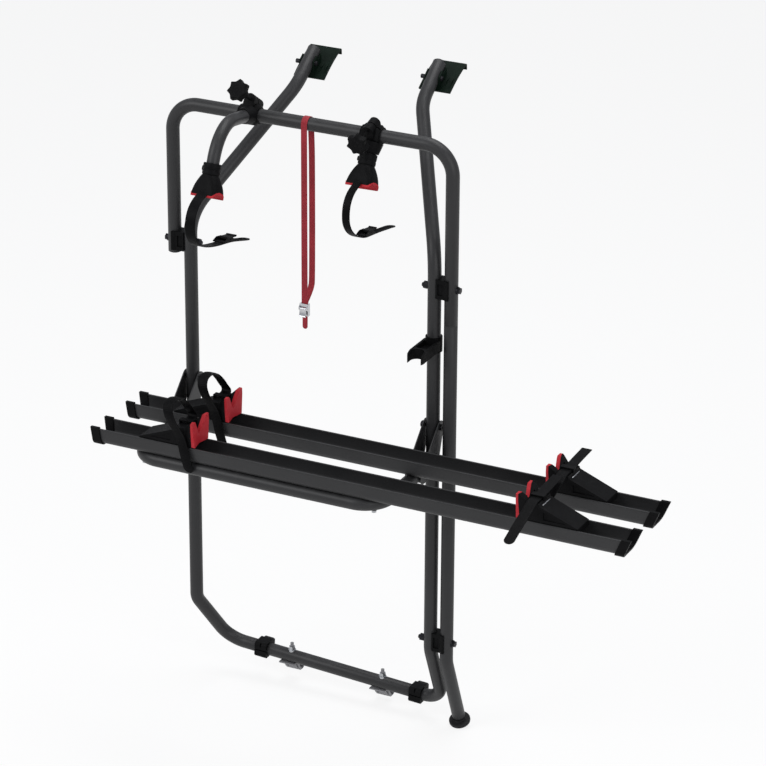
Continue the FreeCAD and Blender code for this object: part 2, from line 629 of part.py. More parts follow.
# Platform: a U tube under the rails, with ears round the inner tubes
arm_left_start = V(-INNER_X, ARM_START_Y, ARM_Z)
arm_right_start = V(INNER_X, ARM_START_Y, ARM_Z)
platform_tube = tube(
    [arm_left_start, V(-INNER_X, PLATFORM_BAR_Y, ARM_Z), V(INNER_X, PLATFORM_BAR_Y, ARM_Z), arm_right_start],
    [PLATFORM_CORNER_R, PLATFORM_CORNER_R])
for side in (-1, 1):
    platform_tube = platform_tube.cut(Part.makeCylinder(TUBE_R + 0.3, 80, V(side * INNER_X, 0, ARM_Z - 40)))
pivot_bolts = []
ears = []
for side in (-1, 1):
    pair = []
    for sign in (-1, 1):
        xa = side * INNER_X + sign * EAR_INNER
        xb = xa + sign * EAR_T
        lo = min(xa, xb)
        hi = max(xa, xb)
        rounds = [(0.0, PIVOT_Z, EAR_R), (ARM_START_Y - 12, ARM_Z, TUBE_R + 2.0), (EAR_END_Y, ARM_Z, TUBE_R + 2.0)]
        cheek = prism_yz(hull(rounds), lo, hi)
        cheek = cheek.cut(rod(V(lo - 1, 0, PIVOT_Z), V(hi + 1, 0, PIVOT_Z), BOLT_R + 0.05))
        pair.append(cheek)
    # bridge that joins the two cheeks under the arm tube
    bridge = box(side * INNER_X - EAR_INNER - 0.1, side * INNER_X + EAR_INNER + 0.1, EAR_END_Y, ARM_START_Y - 14,
                 ARM_Z - TUBE_R - 2.0, ARM_Z - 8.0)
    bridge = bridge.cut(rod(V(side * INNER_X, EAR_END_Y - 20, ARM_Z), V(side * INNER_X, 20, ARM_Z), TUBE_R + 0.02))
    bracket = pair[0].fuse(pair[1]).fuse(bridge)
    # clear of the back rail
    bracket = bracket.cut(box(-400, 400, RAIL_BACK_Y - 32, RAIL_BACK_Y + 32, -RAIL_DEPTH - 0.3, 12))
    ears.append(bracket)
    x_out = side * INNER_X + side * (EAR_INNER + EAR_T)
    x_in = side * INNER_X - side * (EAR_INNER + EAR_T)
    shank = rod(V(x_out, 0, PIVOT_Z), V(x_in, 0, PIVOT_Z), BOLT_R)
    head = rod(V(x_out + side * 0.3, 0, PIVOT_Z), V(x_out + side * 3.9, 0, PIVOT_Z), 7.5)
    head = head.cut(hexagon(V(x_out + side * 5.0, 0, PIVOT_Z), V(-side, 0, 0), 5.0, 3.6))
    head = head.fuse(rod(V(x_out - side * 1, 0, PIVOT_Z), V(x_out + side * 1, 0, PIVOT_Z), BOLT_R))
    knob = rod(V(x_in - side * 0.3, 0, PIVOT_Z), V(x_in - side * 9.0, 0, PIVOT_Z), 8.0)
    edges = [ed for ed in knob.Edges if abs(ed.CenterOfMass.x - (x_in - side * 9.0)) < 0.01]
    knob = knob.makeChamfer(2.0, edges)
    knob = knob.fuse(rod(V(x_in + side * 1, 0, PIVOT_Z), V(x_in - side * 1, 0, PIVOT_Z), BOLT_R))
    pivot_bolts.append(shank.fuse(head).fuse(knob))


# Wheel rails: open troughs with slanted ends
def trough(yc, x0, x1, half, depth, wall, rise):
    # U profile with leaning walls, round corners and a flat floor
    def outline(h, d, r, top):
        lean = 1.6
        foot = h - lean
        pts = [V(x0, yc - h, top), V(x0, yc - foot, -d), V(x0, yc + foot, -d), V(x0, yc + h, top)]
        body = Part.Face(Part.makePolygon(pts + [pts[0]])).extrude(V(x1 - x0, 0, 0))
        edges = [e for e in body.Edges if abs(e.CenterOfMass.z + d) < 0.01 and e.Length > 100]
        return body.makeFillet(r, edges)
    outer = outline(half, depth, RAIL_CORNER_R, rise)
    inner = outline(half - wall, depth - wall, RAIL_CORNER_R - wall, rise + 0.0)
    return outer.cut(inner)


rail_right_x = RAIL_LEFT_X + RAIL_LEN


def slant_cut(x0, x1, extra):
    # keeps what lies between the two slanted end planes; the lips reach further out than the floor
    left = RAIL_LEFT_SLANT / RAIL_DEPTH
    right = RAIL_RIGHT_SLANT / RAIL_DEPTH
    zt = 20.0
    zb = -60.0
    return prism_xz([(x0 - left * zt - extra, zt), (x1 + right * zt + extra, zt), (x1 + right * zb + extra, zb),
                     (x0 - left * zb - extra, zb)], -400, 0)


rails = {}
for name, yc in (("rail_back", RAIL_BACK_Y), ("rail_front", RAIL_FRONT_Y)):
    body = trough(yc, RAIL_LEFT_X - 30, rail_right_x + 30, RAIL_HALF, RAIL_DEPTH, RAIL_WALL, 0.0)
    # rolled lips
    for sign in (-1, 1):
        y_lip = yc + sign * (RAIL_HALF - 0.5 * RAIL_WALL)
        body = body.fuse(box(RAIL_LEFT_X - 30, rail_right_x + 30, y_lip - 1.8, y_lip + 1.8, -2.6, 0))
    # two low grooves along the floor for the holder feet
    for sign in (-1, 1):
        body = body.cut(box(RAIL_LEFT_X - 40, rail_right_x + 40, yc + sign * 9 - 1.5, yc + sign * 9 + 1.5,
                            -RAIL_DEPTH + RAIL_WALL - 0.7, -RAIL_DEPTH + RAIL_WALL + 3.0))
    body = body.common(slant_cut(RAIL_LEFT_X, rail_right_x, 0.0))
    rails[name] = body

rail_caps = []
for yc in (RAIL_BACK_Y, RAIL_FRONT_Y):
    shell = trough(yc, RAIL_LEFT_X - 60, rail_right_x + 60, RAIL_HALF + CAP_T, RAIL_DEPTH + CAP_T,
                   2 * CAP_T + RAIL_WALL, CAP_RISE)
    bed = trough(yc, RAIL_LEFT_X - 60, rail_right_x + 60, RAIL_HALF + 0.05, RAIL_DEPTH + 0.05,
                 RAIL_WALL + 0.1, 0.0)
    for sign in (-1, 1):
        y_lip = yc + sign * (RAIL_HALF - 0.5 * RAIL_WALL)
        bed = bed.fuse(box(RAIL_LEFT_X - 70, rail_right_x + 70, y_lip - 1.85, y_lip + 1.85, -2.65, 0.05))
    bed = bed.common(slant_cut(RAIL_LEFT_X, rail_right_x, 0.05))
    whole = shell.cut(bed)
    for end in (-1, 1):
        x_end = RAIL_LEFT_X if end < 0 else rail_right_x
        s = (RAIL_LEFT_SLANT if end < 0 else RAIL_RIGHT_SLANT) / RAIL_DEPTH
        zone = prism_xz([(x_end + end * (s * 20 + 2.2), 20), (x_end + end * (s * 20 - CAP_LEN), 20),
                         (x_end + end * (-s * 60 - CAP_LEN), -60), (x_end + end * (-s * 60 + 2.2), -60)], -400, 0)
        rail_caps.append(whole.common(zone))

rail_bolts = []
bolt_spots = []
corner = PLATFORM_CORNER_R * (1.0 - math.cos(math.radians(45.0)))
for side in (-1, 1):
    bolt_spots.append((side * INNER_X, RAIL_BACK_Y))
    bolt_spots.append((side * (INNER_X - corner), PLATFORM_BAR_Y + corner))
for bx, by in bolt_spots:
    drill = rod(V(bx, by, -90), V(bx, by, -20), 3.1)
    platform_tube = platform_tube.cut(drill)
    name = "rail_back" if by > -200 else "rail_front"
    rails[name] = rails[name].cut(drill)
    floor = -RAIL_DEPTH + RAIL_WALL
    bolt = rod(V(bx, by, ARM_Z - TUBE_R - 6.5), V(bx, by, floor + 1.0), 3.0)
    head = rod(V(bx, by, floor), V(bx, by, floor + 2.6), 5.5)
    nut = hexagon(V(bx, by, ARM_Z - TUBE_R - 0.6), V(0, 0, -1), 10.0, 4.6)
    washer = rod(V(bx, by, ARM_Z - TUBE_R), V(bx, by, ARM_Z - TUBE_R - 0.6), 6.5)
    rail_bolts.append((bolt, head, nut, washer, name))
bolts = []
for bolt, head, nut, washer, name in rail_bolts:
    bolts.append(bolt.fuse(head).fuse(nut).fuse(washer))


# Wheel holders
def neck_of(way):
    return NECK_START_LEFT if way < 0 else NECK_START_RIGHT


def holder(xm, way, yc):
    n0 = neck_of(way)
    n1 = n0 + NECK_LEN

    def at(u, v):
        return (xm + way * u, v)

    side_pts = [at(-2, -9), at(0, JAW_TIP_Z), at(7, JAW_TIP_Z), at(n0 - 2, 47), at(n0, NECK_TOP + 1),
                at(n1, NECK_TOP - 1), at(n1 + 2, NECK_TOP - 6.5), at(HOLDER_LEN, 3.0), at(HOLDER_LEN + 2, -9)]
    side = prism_xz(side_pts, yc - 60, yc + 60)
    plan_pts = [at(-4, -JAW_HALF), at(10, -JAW_HALF), at(n0 + 2, -31.0), at(HOLDER_LEN + 4, -29.0),
                at(HOLDER_LEN + 4, 29.0), at(n0 + 2, 31.0), at(10, JAW_HALF), at(-4, JAW_HALF)]
    plan = prism_xy([(p[0], p[1] + yc) for p in plan_pts], -40, 90)
    front = prism_yz([(yc - 24.5, -9), (yc - 27.2, 0.2), (yc - 31.0, 2.0), (yc - JAW_HALF, JAW_TIP_Z - 14),
                      (yc - JAW_HALF, JAW_TIP_Z + 5), (yc + JAW_HALF, JAW_TIP_Z + 5),
                      (yc + JAW_HALF, JAW_TIP_Z - 14), (yc + 31.0, 2.0), (yc + 27.2, 0.2), (yc + 24.5, -9)],
                     min(xm - way * 10, xm + way * 160), max(xm - way * 10, xm + way * 160))
    full = side.common(plan).common(front)
    notch = prism_yz([(yc, JAW_NOTCH_Z), (yc - 30, JAW_TIP_Z + 12), (yc + 30, JAW_TIP_Z + 12)],
                     min(xm - way * 10, xm + way * 20), max(xm - way * 10, xm + way * 20))
    full = full.cut(notch)
    # the mouth is a hollow V seen from above
    def vee(depth):
        pts = [(xm - way * 12, yc - 50), (xm + way * (depth - 6), yc - 50), (xm + way * (depth - 3), yc - 34),
               (xm + way * (JAW_PLAN_V + depth), yc), (xm + way * (depth - 3), yc + 34), (xm + way * (depth - 6), yc + 50),
               (xm - way * 12, yc + 50)]
        return prism_xy(pts, -40, 90)
    full = full.cut(vee(0.0))
    near = vee(JAW_LINER_T)
    liner = full.common(near)
    liner = liner.cut(box(min(xm - 20, xm + 30), max(xm - 20, xm + 30), yc - 60, yc + 60, -20, 1.0))
    block = full.cut(near)
    # hollow underside with one rib
    cavity = prism_xz([at(24, -20), at(24, 30), at(46, 30), at(112, 6), at(118, -20)], yc - 21, yc + 21)
    rib = box(min(xm + way * 62, xm + way * 65), max(xm + way * 62, xm + way * 65), yc - 30, yc + 30, -9, 60)
    block = block.cut(cavity.cut(rib))
    # slots on both sides of the strap seat
    for u in (n0 - 5.0, n1 + 3.5):
        slot = box(min(xm + way * u, xm + way * (u + 2.6)), max(xm + way * u, xm + way * (u + 2.6)),
                   yc - 19, yc + 19, 34, 70)
        block = block.cut(slot)
    # sunk panels on the flanks of the tail
    for sign in (-1, 1):
        panel = prism_xz([at(60, 8), at(60, 26), at(84, 16), at(112, 8)],
                         min(yc + sign * 28.4, yc + sign * 40), max(yc + sign * 28.4, yc + sign * 40))
        block = block.cut(panel)
    block = max(block.Solids, key=lambda s_: s_.Volume)
    pieces = liner.Solids
    return block, pieces


def strap_x(xm, way):
    return xm + way * (neck_of(way) + 0.5 * NECK_LEN)


def hoop_strap(xm, way, yc):
    seat = NECK_TOP + 0.5 * WHEEL_STRAP_T + 1.25
    line = [(0.0, seat), (18.0, seat), (26.0, seat + 1.5), (29.5, seat + 7.0), (27.0, seat + 13.0), (21.6, 67.0),
            (13.8, 80.5), (3.8, 93.0), (-8.2, 102.5), (-26.0, 108.0), (-43.7, 107.5), (-54.0, 102.5), (-60.5, 92.5),
            (-60.5, 80.0), (-56.6, 65.3), (-50.0, 51.7), (-43.5, 38.0), (-39.0, 24.0), (-37.5, 5.0), (-38.5, -21.0),
            (-37.0, -46.0), (-36.0, -56.0)]
    pts = [(yc + p[0], p[1]) for p in line]
    return strip(pts, WHEEL_STRAP_W, WHEEL_STRAP_T, strap_x(xm, way), HOOP_LEAN, seat)


def flat_strap(xm, way, yc, near):
    seat = NECK_TOP + 0.5 * WHEEL_STRAP_T + 1.25
    line = [(100.0, seat + 5.0), (60.0, seat + 3.0), (30.0, seat + 1.0), (10.0, seat), (-10.0, seat), (-33.0, seat)]
    fall = near / 155.0
    line += [(-33.0 - 27.0 * fall, seat - 1.0 - 9.0 * fall), (-33.0 - 72.0 * fall, seat - 1.0 - 24.0 * fall),
             (-33.0 - 122.0 * fall, seat - 1.0 - 42.0 * fall)]
    pts = [(yc + p[0], p[1]) for p in line]
    xs = strap_x(xm, way)
    body = strip(pts, WHEEL_STRAP_W, WHEEL_STRAP_T, xs)
    y_end = yc + line[-1][0]
    w = 0.5 * WHEEL_STRAP_W
    trim = prism_xy([(xs - w - 1, yc + 120), (xs + w + 1, yc + 120), (xs + w + 1, y_end + 16), (xs + 5, y_end - 1),
                     (xs - 5, y_end - 1), (xs - w - 1, y_end + 16)], -60, 120)
    return body.common(trim)


holders = {}
for tag, xm, way, yc in (("back_left", HOLDER_LEFT_X, -1, RAIL_BACK_Y), ("front_left", HOLDER_LEFT_X, -1, RAIL_FRONT_Y),
                         ("back_right", HOLDER_RIGHT_X, 1, RAIL_BACK_Y), ("front_right", HOLDER_RIGHT_X, 1, RAIL_FRONT_Y)):
    block, liner = holder(xm, way, yc)
    if way < 0:
        strap = hoop_strap(xm, way, yc)
    elif yc > -200:
        strap = flat_strap(xm, way, yc, 105.0)
    else:
        strap = flat_strap(xm, way, yc, 155.0)
    # keeper loop over the strap on the seat
    xs = strap_x(xm, way)
    seat = NECK_TOP
    half = 0.5 * WHEEL_STRAP_W + 1.2
    keeper = box(xs - half - 2.3, xs + half + 2.3, yc - 7.0, yc + 7.0, seat - 3.0, seat + 7.4)
    keeper = keeper.cut(box(xs - half, xs + half, yc - 8, yc + 8, seat - 5, seat + 4.4))
    block = block.fuse(keeper)
    block = max(block.Solids, key=lambda s_: s_.Volume)
    holders[tag] = (block, liner, strap)


# Bike arms
def bar_frame(cx, y, z):
    return V(cx, y, TOP_BAR_Z + z)


def knob_shape():
    # star knob, axis +Z, screw below
    pts = []
    for k in range(KNOB_LOBES * 4):
        a = 2 * math.pi * k / (KNOB_LOBES * 4)
        r = KNOB_R if k % 4 < 2 else KNOB_R * 0.76
        pts.append(V(r * math.cos(a), r * math.sin(a), 0))
    star = Part.Face(Part.makePolygon(pts + [pts[0]])).extrude(V(0, 0, 17.0))
    hub = Part.makeCylinder(10.0, 9.0, V(0, 0, -9.0))
    dish = Part.makeCylinder(9.0, 2.0, V(0, 0, 15.6))
    return star.fuse(hub).cut(dish)


def bike_clamp(cx, arm_x, arm_angle, knob_angle, knob_reach, offset, socket_size):
    # ring round the bush, a socket for the arm tube and a lug for the knob screw
    x0 = cx - 0.5 * CLAMP_W
    x1 = cx + 0.5 * CLAMP_W
    c0 = V(x0, 0, TOP_BAR_Z)
    c1 = V(x1, 0, TOP_BAR_Z)
    body = rod(c0, c1, CLAMP_R)
    edges = [e for e in body.Edges if e.Length > 100 and abs(e.CenterOfMass.y) < 1 and abs(e.CenterOfMass.z - TOP_BAR_Z) < 1]
    body = body.makeChamfer(5.0, edges)
    a = math.radians(arm_angle)
    d = V(0, math.cos(a), math.sin(a))
    base = V(cx, 0, TOP_BAR_Z)
    r0, r1, reach = socket_size
    socket = Part.makeCone(r0, r1, reach, V(arm_x, d.y * 17, TOP_BAR_Z + d.z * 17), d)
    k = math.radians(knob_angle)
    kd = V(0, math.cos(k), math.sin(k))
    kn = V(0, -math.sin(k), math.cos(k))
    line0 = base.add(V(0, kn.y * offset, kn.z * offset))
    lug_c = line0
    back = 0.84 * abs(offset)
    lug = Part.makeCylinder(13.0, back + 23.0, lug_c.sub(V(0, kd.y * back, kd.z * back)), kd)
    sign = 1.0 if offset > 0 else -1.0
    corners = []
    for t, s in ((-back, 0), (23, 0), (23, offset), (-back, offset)):
        corners.append((kd.y * t + kn.y * s, TOP_BAR_Z + kd.z * t + kn.z * s))
    cheek = prism_yz(corners, cx - 13.0, cx + 13.0)
    body = body.fuse(socket).fuse(lug).fuse(cheek)
    body = body.cut(rod(c0.sub(V(5, 0, 0)), c1.add(V(5, 0, 0)), BUSH_R + 0.05))
    # room for the flanges of the bush at both ends
    for end in (-1, 1):
        xe = cx + end * (0.5 * CLAMP_W + 0.05)
        body = body.cut(rod(V(xe, 0, TOP_BAR_Z), V(xe + end * 12, 0, TOP_BAR_Z), BUSH_R + 2.5))
    # slit that the knob closes
    slit_pts = []
    for t, s in ((1.5, sign * 10), (4.5, sign * 10), (4.5, sign * (abs(offset) + 16)), (1.5, sign * (abs(offset) + 16))):
        slit_pts.append((kd.y * t + kn.y * s, TOP_BAR_Z + kd.z * t + kn.z * s))
    body = body.cut(prism_yz(slit_pts, x0 - 2, x1 + 2))
    screw_a = line0.sub(V(0, kd.y * (back + 8), kd.z * (back + 8)))
    screw_b = line0.add(V(0, kd.y * knob_reach, kd.z * knob_reach))
    body = body.cut(rod(screw_a, screw_b, 3.3))
    knob = place(knob_shape(), line0.add(V(0, kd.y * knob_reach, kd.z * knob_reach)), kd)
    screw = rod(line0.sub(V(0, kd.y * (back + 2), kd.z * (back + 2))), line0.add(V(0, kd.y * knob_reach, kd.z * knob_reach)), 3.2)
    knob = knob.fuse(screw)
    return body, knob, d


def jaw_local():
    # mouth plane at z = 0 facing down, neck at the top
    def section(w, dd, z, c):
        # rectangle with its corners cut at 45 degrees
        w2 = 0.5 * w
        d2 = 0.5 * dd
        pts = [V(w2, d2 - c, z), V(w2 - c, d2, z), V(-w2 + c, d2, z), V(-w2, d2 - c, z),
               V(-w2, -d2 + c, z), V(-w2 + c, -d2, z), V(w2 - c, -d2, z), V(w2, -d2 + c, z)]
        return Part.makePolygon(pts + [pts[0]])

    # round shoulders that close towards the collar
    wires = [section(JAW_W, JAW_D, 0.0, 7.0), section(JAW_W - 2.0, JAW_D - 1.0, 14.0, 8.0),
             section(JAW_W - 10.0, JAW_D - 3.5, 28.0, 10.0), section(JAW_W - 21.0, JAW_D - 6.0, 40.0, 12.0),
             section(36.0, 34.5, 50.0, 12.0)]
    bell = Part.makeLoft(wires, True, True)
    collar = Part.makeCylinder(COLLAR_R, COLLAR_H, V(0, 0, JAW_H - COLLAR_H))
    collar = collar.makeChamfer(1.2, [e for e in collar.Edges if e.Length > 100 and e.CenterOfMass.z > JAW_H - 1])
    boss = box(-25.0, 0.0, -4.5, 4.5, JAW_H - 18.0, JAW_H - 7.0)
    body = bell.fuse(collar).fuse(boss)
    # channel across the mouth, wavy in depth
    channel = rod(V(-60, 0, -9.0), V(60, 0, -9.0), 20.0)
    inner_channel = rod(V(-60, 0, -9.0), V(60, 0, -9.0), 23.6)
    rim = box(-60, 60, -40, 40, -1, 5.0)
    body = body.cut(channel)
    liner = body.common(inner_channel.fuse(rim)).cut(box(-60, 60, -40, 40, 16.0, 90))
    body = body.cut(inner_channel.fuse(rim))
    body = body.cut(Part.makeCylinder(ARM_TUBE_R + 0.05, 60.0, V(0, 0, JAW_H - TUBE_IN_JAW - 2.0)))
    # side pockets
    for sign in (-1, 1):
        pocket = box(-15, 15, min(sign * 19.0, sign * 30), max(sign * 19.0, sign * 30), 9.0, 24.0)
        body = body.cut(pocket)
    solids = sorted(body.Solids, key=lambda s_: -s_.Volume)
    return solids[0], max(liner.Solids, key=lambda s_: s_.Volume)


def place_jaw(shape, cx, y, drop, tilt, yaw):
    shape = shape.copy()
    rotation = FreeCAD.Rotation(V(1, 0, 0), -tilt).multiply(FreeCAD.Rotation(V(0, 0, 1), yaw))
    shape.Placement = FreeCAD.Placement(bar_frame(cx, y, -drop), rotation)
    return shape


jaw_body, jaw_liner = jaw_local()
jaw_a = place_jaw(jaw_body, ARM_A_X, JAW_A_Y, JAW_A_DROP, JAW_A_TILT, JAW_A_YAW)
liner_a = place_jaw(jaw_liner, ARM_A_X, JAW_A_Y, JAW_A_DROP, JAW_A_TILT, JAW_A_YAW)
jaw_b = place_jaw(jaw_body, ARM_B_X, JAW_B_Y, JAW_B_DROP, JAW_B_TILT, JAW_B_YAW)
liner_b = place_jaw(jaw_liner, ARM_B_X, JAW_B_Y, JAW_B_DROP, JAW_B_TILT, JAW_B_YAW)

clamp_a, knob_a, dir_a = bike_clamp(CLAMP_A_X, ARM_A_ROOT_X, 168.0, KNOB_A_ANGLE,
                                 KNOB_A_REACH, KNOB_A_OFFSET, (21.0, 17.0, 30.0))
clamp_b, knob_b, dir_b = bike_clamp(CLAMP_B_X, ARM_B_X, 180.0 + 90.0 - JAW_B_TILT, KNOB_B_ANGLE,
                                 KNOB_B_REACH, KNOB_B_OFFSET,
                                 (25.0, COLLAR_R, JAW_B_DROP / math.cos(math.radians(JAW_B_TILT)) - JAW_H - 17.4))


def jaw_axis_point(cx, y, drop, tilt, height):
    t = math.radians(tilt)
    return bar_frame(cx, y + math.sin(t) * height, -drop + math.cos(t) * height)


tube_end_a = jaw_axis_point(ARM_A_X, JAW_A_Y, JAW_A_DROP, JAW_A_TILT, JAW_H - TUBE_IN_JAW)
corner_a = jaw_axis_point(ARM_A_X, JAW_A_Y, JAW_A_DROP, JAW_A_TILT, JAW_H + 84.0)
start_a = V(ARM_A_ROOT_X, dir_a.y * 19.0, TOP_BAR_Z + dir_a.z * 19.0)
arm_tube_a = tube([start_a, corner_a, tube_end_a], [ARM_BEND_R], ARM_TUBE_R, ARM_TUBE_WALL)
tube_end_b = jaw_axis_point(ARM_B_X, JAW_B_Y, JAW_B_DROP, JAW_B_TILT, JAW_H - TUBE_IN_JAW)
start_b = jaw_axis_point(ARM_B_X, JAW_B_Y, JAW_B_DROP, JAW_B_TILT, JAW_H + 29.0)
arm_tube_b = ring(tube_end_b, start_b, ARM_TUBE_R, ARM_TUBE_R - ARM_TUBE_WALL)
keep_out = rod(V(CLAMP_A_X - 60, 0, TOP_BAR_Z), V(CLAMP_A_X + 60, 0, TOP_BAR_Z), BUSH_R + 1.5)
arm_tube_a = arm_tube_a.cut(keep_out)
keep_out = rod(V(CLAMP_B_X - 60, 0, TOP_BAR_Z), V(CLAMP_B_X + 60, 0, TOP_BAR_Z), BUSH_R + 1.5)
arm_tube_b = arm_tube_b.cut(keep_out)
solid_a = bent_rod([start_a, corner_a, tube_end_a], [ARM_BEND_R], ARM_TUBE_R + 0.02)
clamp_a = clamp_a.cut(solid_a)
clamp_a = max(clamp_a.Solids, key=lambda s_: s_.Volume)
clamp_b = max(clamp_b.Solids, key=lambda s_: s_.Volume)
knob_a = knob_a.cut(solid_a)
knob_b = knob_b.cut(rod(tube_end_b, start_b, ARM_TUBE_R + 0.3))
knob_a = max(knob_a.Solids, key=lambda s_: s_.Volume)
knob_b = max(knob_b.Solids, key=lambda s_: s_.Volume)


def bush(cx):
    body = ring(V(cx - 0.5 * BUSH_LEN, 0, TOP_BAR_Z), V(cx + 0.5 * BUSH_LEN, 0, TOP_BAR_Z), BUSH_R, TUBE_R + 0.06)
    for end in (-1, 1):
        xa = cx + end * 0.5 * BUSH_LEN
        body = body.fuse(ring(V(xa, 0, TOP_BAR_Z), V(xa - end * 1.8, 0, TOP_BAR_Z), BUSH_R + 2.2, TUBE_R + 0.06))
    return body.removeSplitter()


bush_a = bush(CLAMP_A_X)
bush_b = bush(CLAMP_B_X)

# Straps of the bike arms, with a toothed upper face near the tip
strap_a_line = [(-246.0, -88.0), (-262.0, -96.0), (-283.0, -104.0), (-300.0, -116.0), (-311.0, -134.0),
                (-314.0, -156.0), (-309.0, -177.0), (-294.0, -196.0), (-272.0, -208.0), (-246.0, -217.0),
                (-215.0, -225.0), (-184.0, -231.0), (-150.0, -238.0), (-118.0, -247.0), (-88.0, -256.0),
                (-62.0, -263.0)]
strap_b_line = [(-62.0, -77.0), (-72.0, -82.0), (-85.0, -87.0), (-103.0, -94.0), (-117.0, -104.0), (-127.0, -119.0), (-131.0, -138.0),
                (-129.0, -158.0), (-118.0, -177.0), (-100.0, -193.0), (-78.0, -205.0), (-52.0, -214.0),
                (-20.0, -219.0), (14.0, -224.0), (48.0, -230.0), (76.0, -235.0), (100.0, -241.0)]


def arm_strap(cx, line, width):
    pts = [(p[0], TOP_BAR_Z + p[1]) for p in line]
    body = strip(pts, width, ARM_STRAP_T, cx)
    n = len(pts)
    for k in range(n - 4, n - 1):
        for j in range(5):
            t = (j + 0.5) / 5.0
            y = pts[k][0] * (1 - t) + pts[k + 1][0] * t
            z = pts[k][1] * (1 - t) + pts[k + 1][1] * t
            dy = pts[k + 1][0] - pts[k][0]
            dz = pts[k + 1][1] - pts[k][1]
            s = math.hypot(dy, dz)
            ny = dz / s
            nz = -dy / s
            top = 0.5 * ARM_STRAP_T
            tooth = prism_yz([(y - ny * top * 0.6 - dy / s * 1.6, z - nz * top * 0.6 - dz / s * 1.6),
                              (y - ny * (top + 1.0) + dy / s * 1.4, z - nz * (top + 1.0) + dz / s * 1.4),
                              (y - ny * top * 0.6 + dy / s * 1.6, z - nz * top * 0.6 + dz / s * 1.6)],
                             cx - 0.3 * width, cx + 0.3 * width)
            body = body.fuse(tooth)
    return body


def cut_tip(body, cx, width, y_tip, z_tip, way):
    w = 0.5 * width
    trim = prism_xy([(cx - w - 1, y_tip - way * 420), (cx + w + 1, y_tip - way * 420), (cx + w + 1, y_tip - way * 14),
                     (cx + 3.0, y_tip + way * 1), (cx - 3.0, y_tip + way * 1), (cx - w - 1, y_tip - way * 14)],
                    z_tip - 300, z_tip + 400)
    return body.common(trim)


arm_strap_a = cut_tip(arm_strap(ARM_A_X, strap_a_line, ARM_STRAP_W_A), ARM_A_X, ARM_STRAP_W_A,
                      strap_a_line[-1][0], TOP_BAR_Z - 270, 1)
arm_strap_b = cut_tip(arm_strap(ARM_B_X, strap_b_line, ARM_STRAP_W_B), ARM_B_X, ARM_STRAP_W_B,
                      strap_b_line[-1][0], TOP_BAR_Z - 249, 1)
jaw_zone_a = jaw_a.fuse(liner_a)
jaw_zone_b = jaw_b.fuse(liner_b)
arm_strap_a = max(arm_strap_a.cut(jaw_zone_a).Solids, key=lambda s_: s_.Volume)
arm_strap_b = max(arm_strap_b.cut(jaw_zone_b).Solids, key=lambda s_: s_.Volume)


def ratchet(cx, y, z, fall, width):
    # buckle frame seated on the strap; local x across the strap, local y along it, local z up
    w = 0.5 * width + 3.0
    base = box(-w, w, -24, 24, 0.0, 2.2)
    walls = box(-w, -w + 2.2, -22, 20, 0, 9).fuse(box(w - 2.2, w, -22, 20, 0, 9))
    for sign in (-1, 1):
        lo = -w - 1 if sign < 0 else w - 3.2
        nose = prism_yz([(-23, 3), (-23, 10), (-8, 10)], lo, lo + 4.2)
        tail = prism_yz([(21, 3), (21, 10), (9, 10)], lo, lo + 4.2)
        walls = walls.cut(nose).cut(tail)
    frame = base.fuse(walls)
    frame = frame.cut(box(-w + 6, w - 6, -8, 8, -1, 4))
    pin = rod(V(-w - 0.8, 2, 5.6), V(w + 0.8, 2, 5.6), 1.4)
    frame = frame.fuse(pin)
    lw = w - 2.6
    lever = box(-lw, lw, -0.6, 30, 7.6, 9.2)
    hub = rod(V(-lw, 2, 5.6), V(lw, 2, 5.6), 2.9)
    lever = lever.fuse(hub).fuse(box(-lw, lw, -0.6, 4.6, 5.6, 8.5))
    lever = lever.fuse(prism_yz([(27, 7.6), (30, 7.6), (34, 10.4), (31.5, 11.8)], -lw, lw))
    lever = lever.cut(rod(V(-w, 2, 5.6), V(w, 2, 5.6), 1.46))
    out = []
    for shape in (frame, lever):
        shape = shape.copy()
        rotation = FreeCAD.Rotation(V(1, 0, 0), -fall)
        shape.Placement = FreeCAD.Placement(V(cx, y, z), rotation)
        out.append(shape)
    return out


def on_strap(line, k, lift):
    a = line[k]
    b = line[k + 1]
    y = 0.5 * (a[0] + b[0])
    z = 0.5 * (a[1] + b[1])
    dy = b[0] - a[0]
    dz = b[1] - a[1]
    s = math.hypot(dy, dz)
    return y - dz / s * lift, TOP_BAR_Z + z + dy / s * lift, math.degrees(math.atan2(-dz, dy))


ya, za, fa = on_strap(strap_a_line, 11, 0.5 * ARM_STRAP_T + 0.45)
yb, zb, fb = on_strap(strap_b_line, 11, 0.5 * ARM_STRAP_T + 1.2)
buckle_a, lever_a = ratchet(ARM_A_X, ya, za, fa, ARM_STRAP_W_A)
buckle_b, lever_b = ratchet(ARM_B_X, yb, zb, fb, ARM_STRAP_W_B)

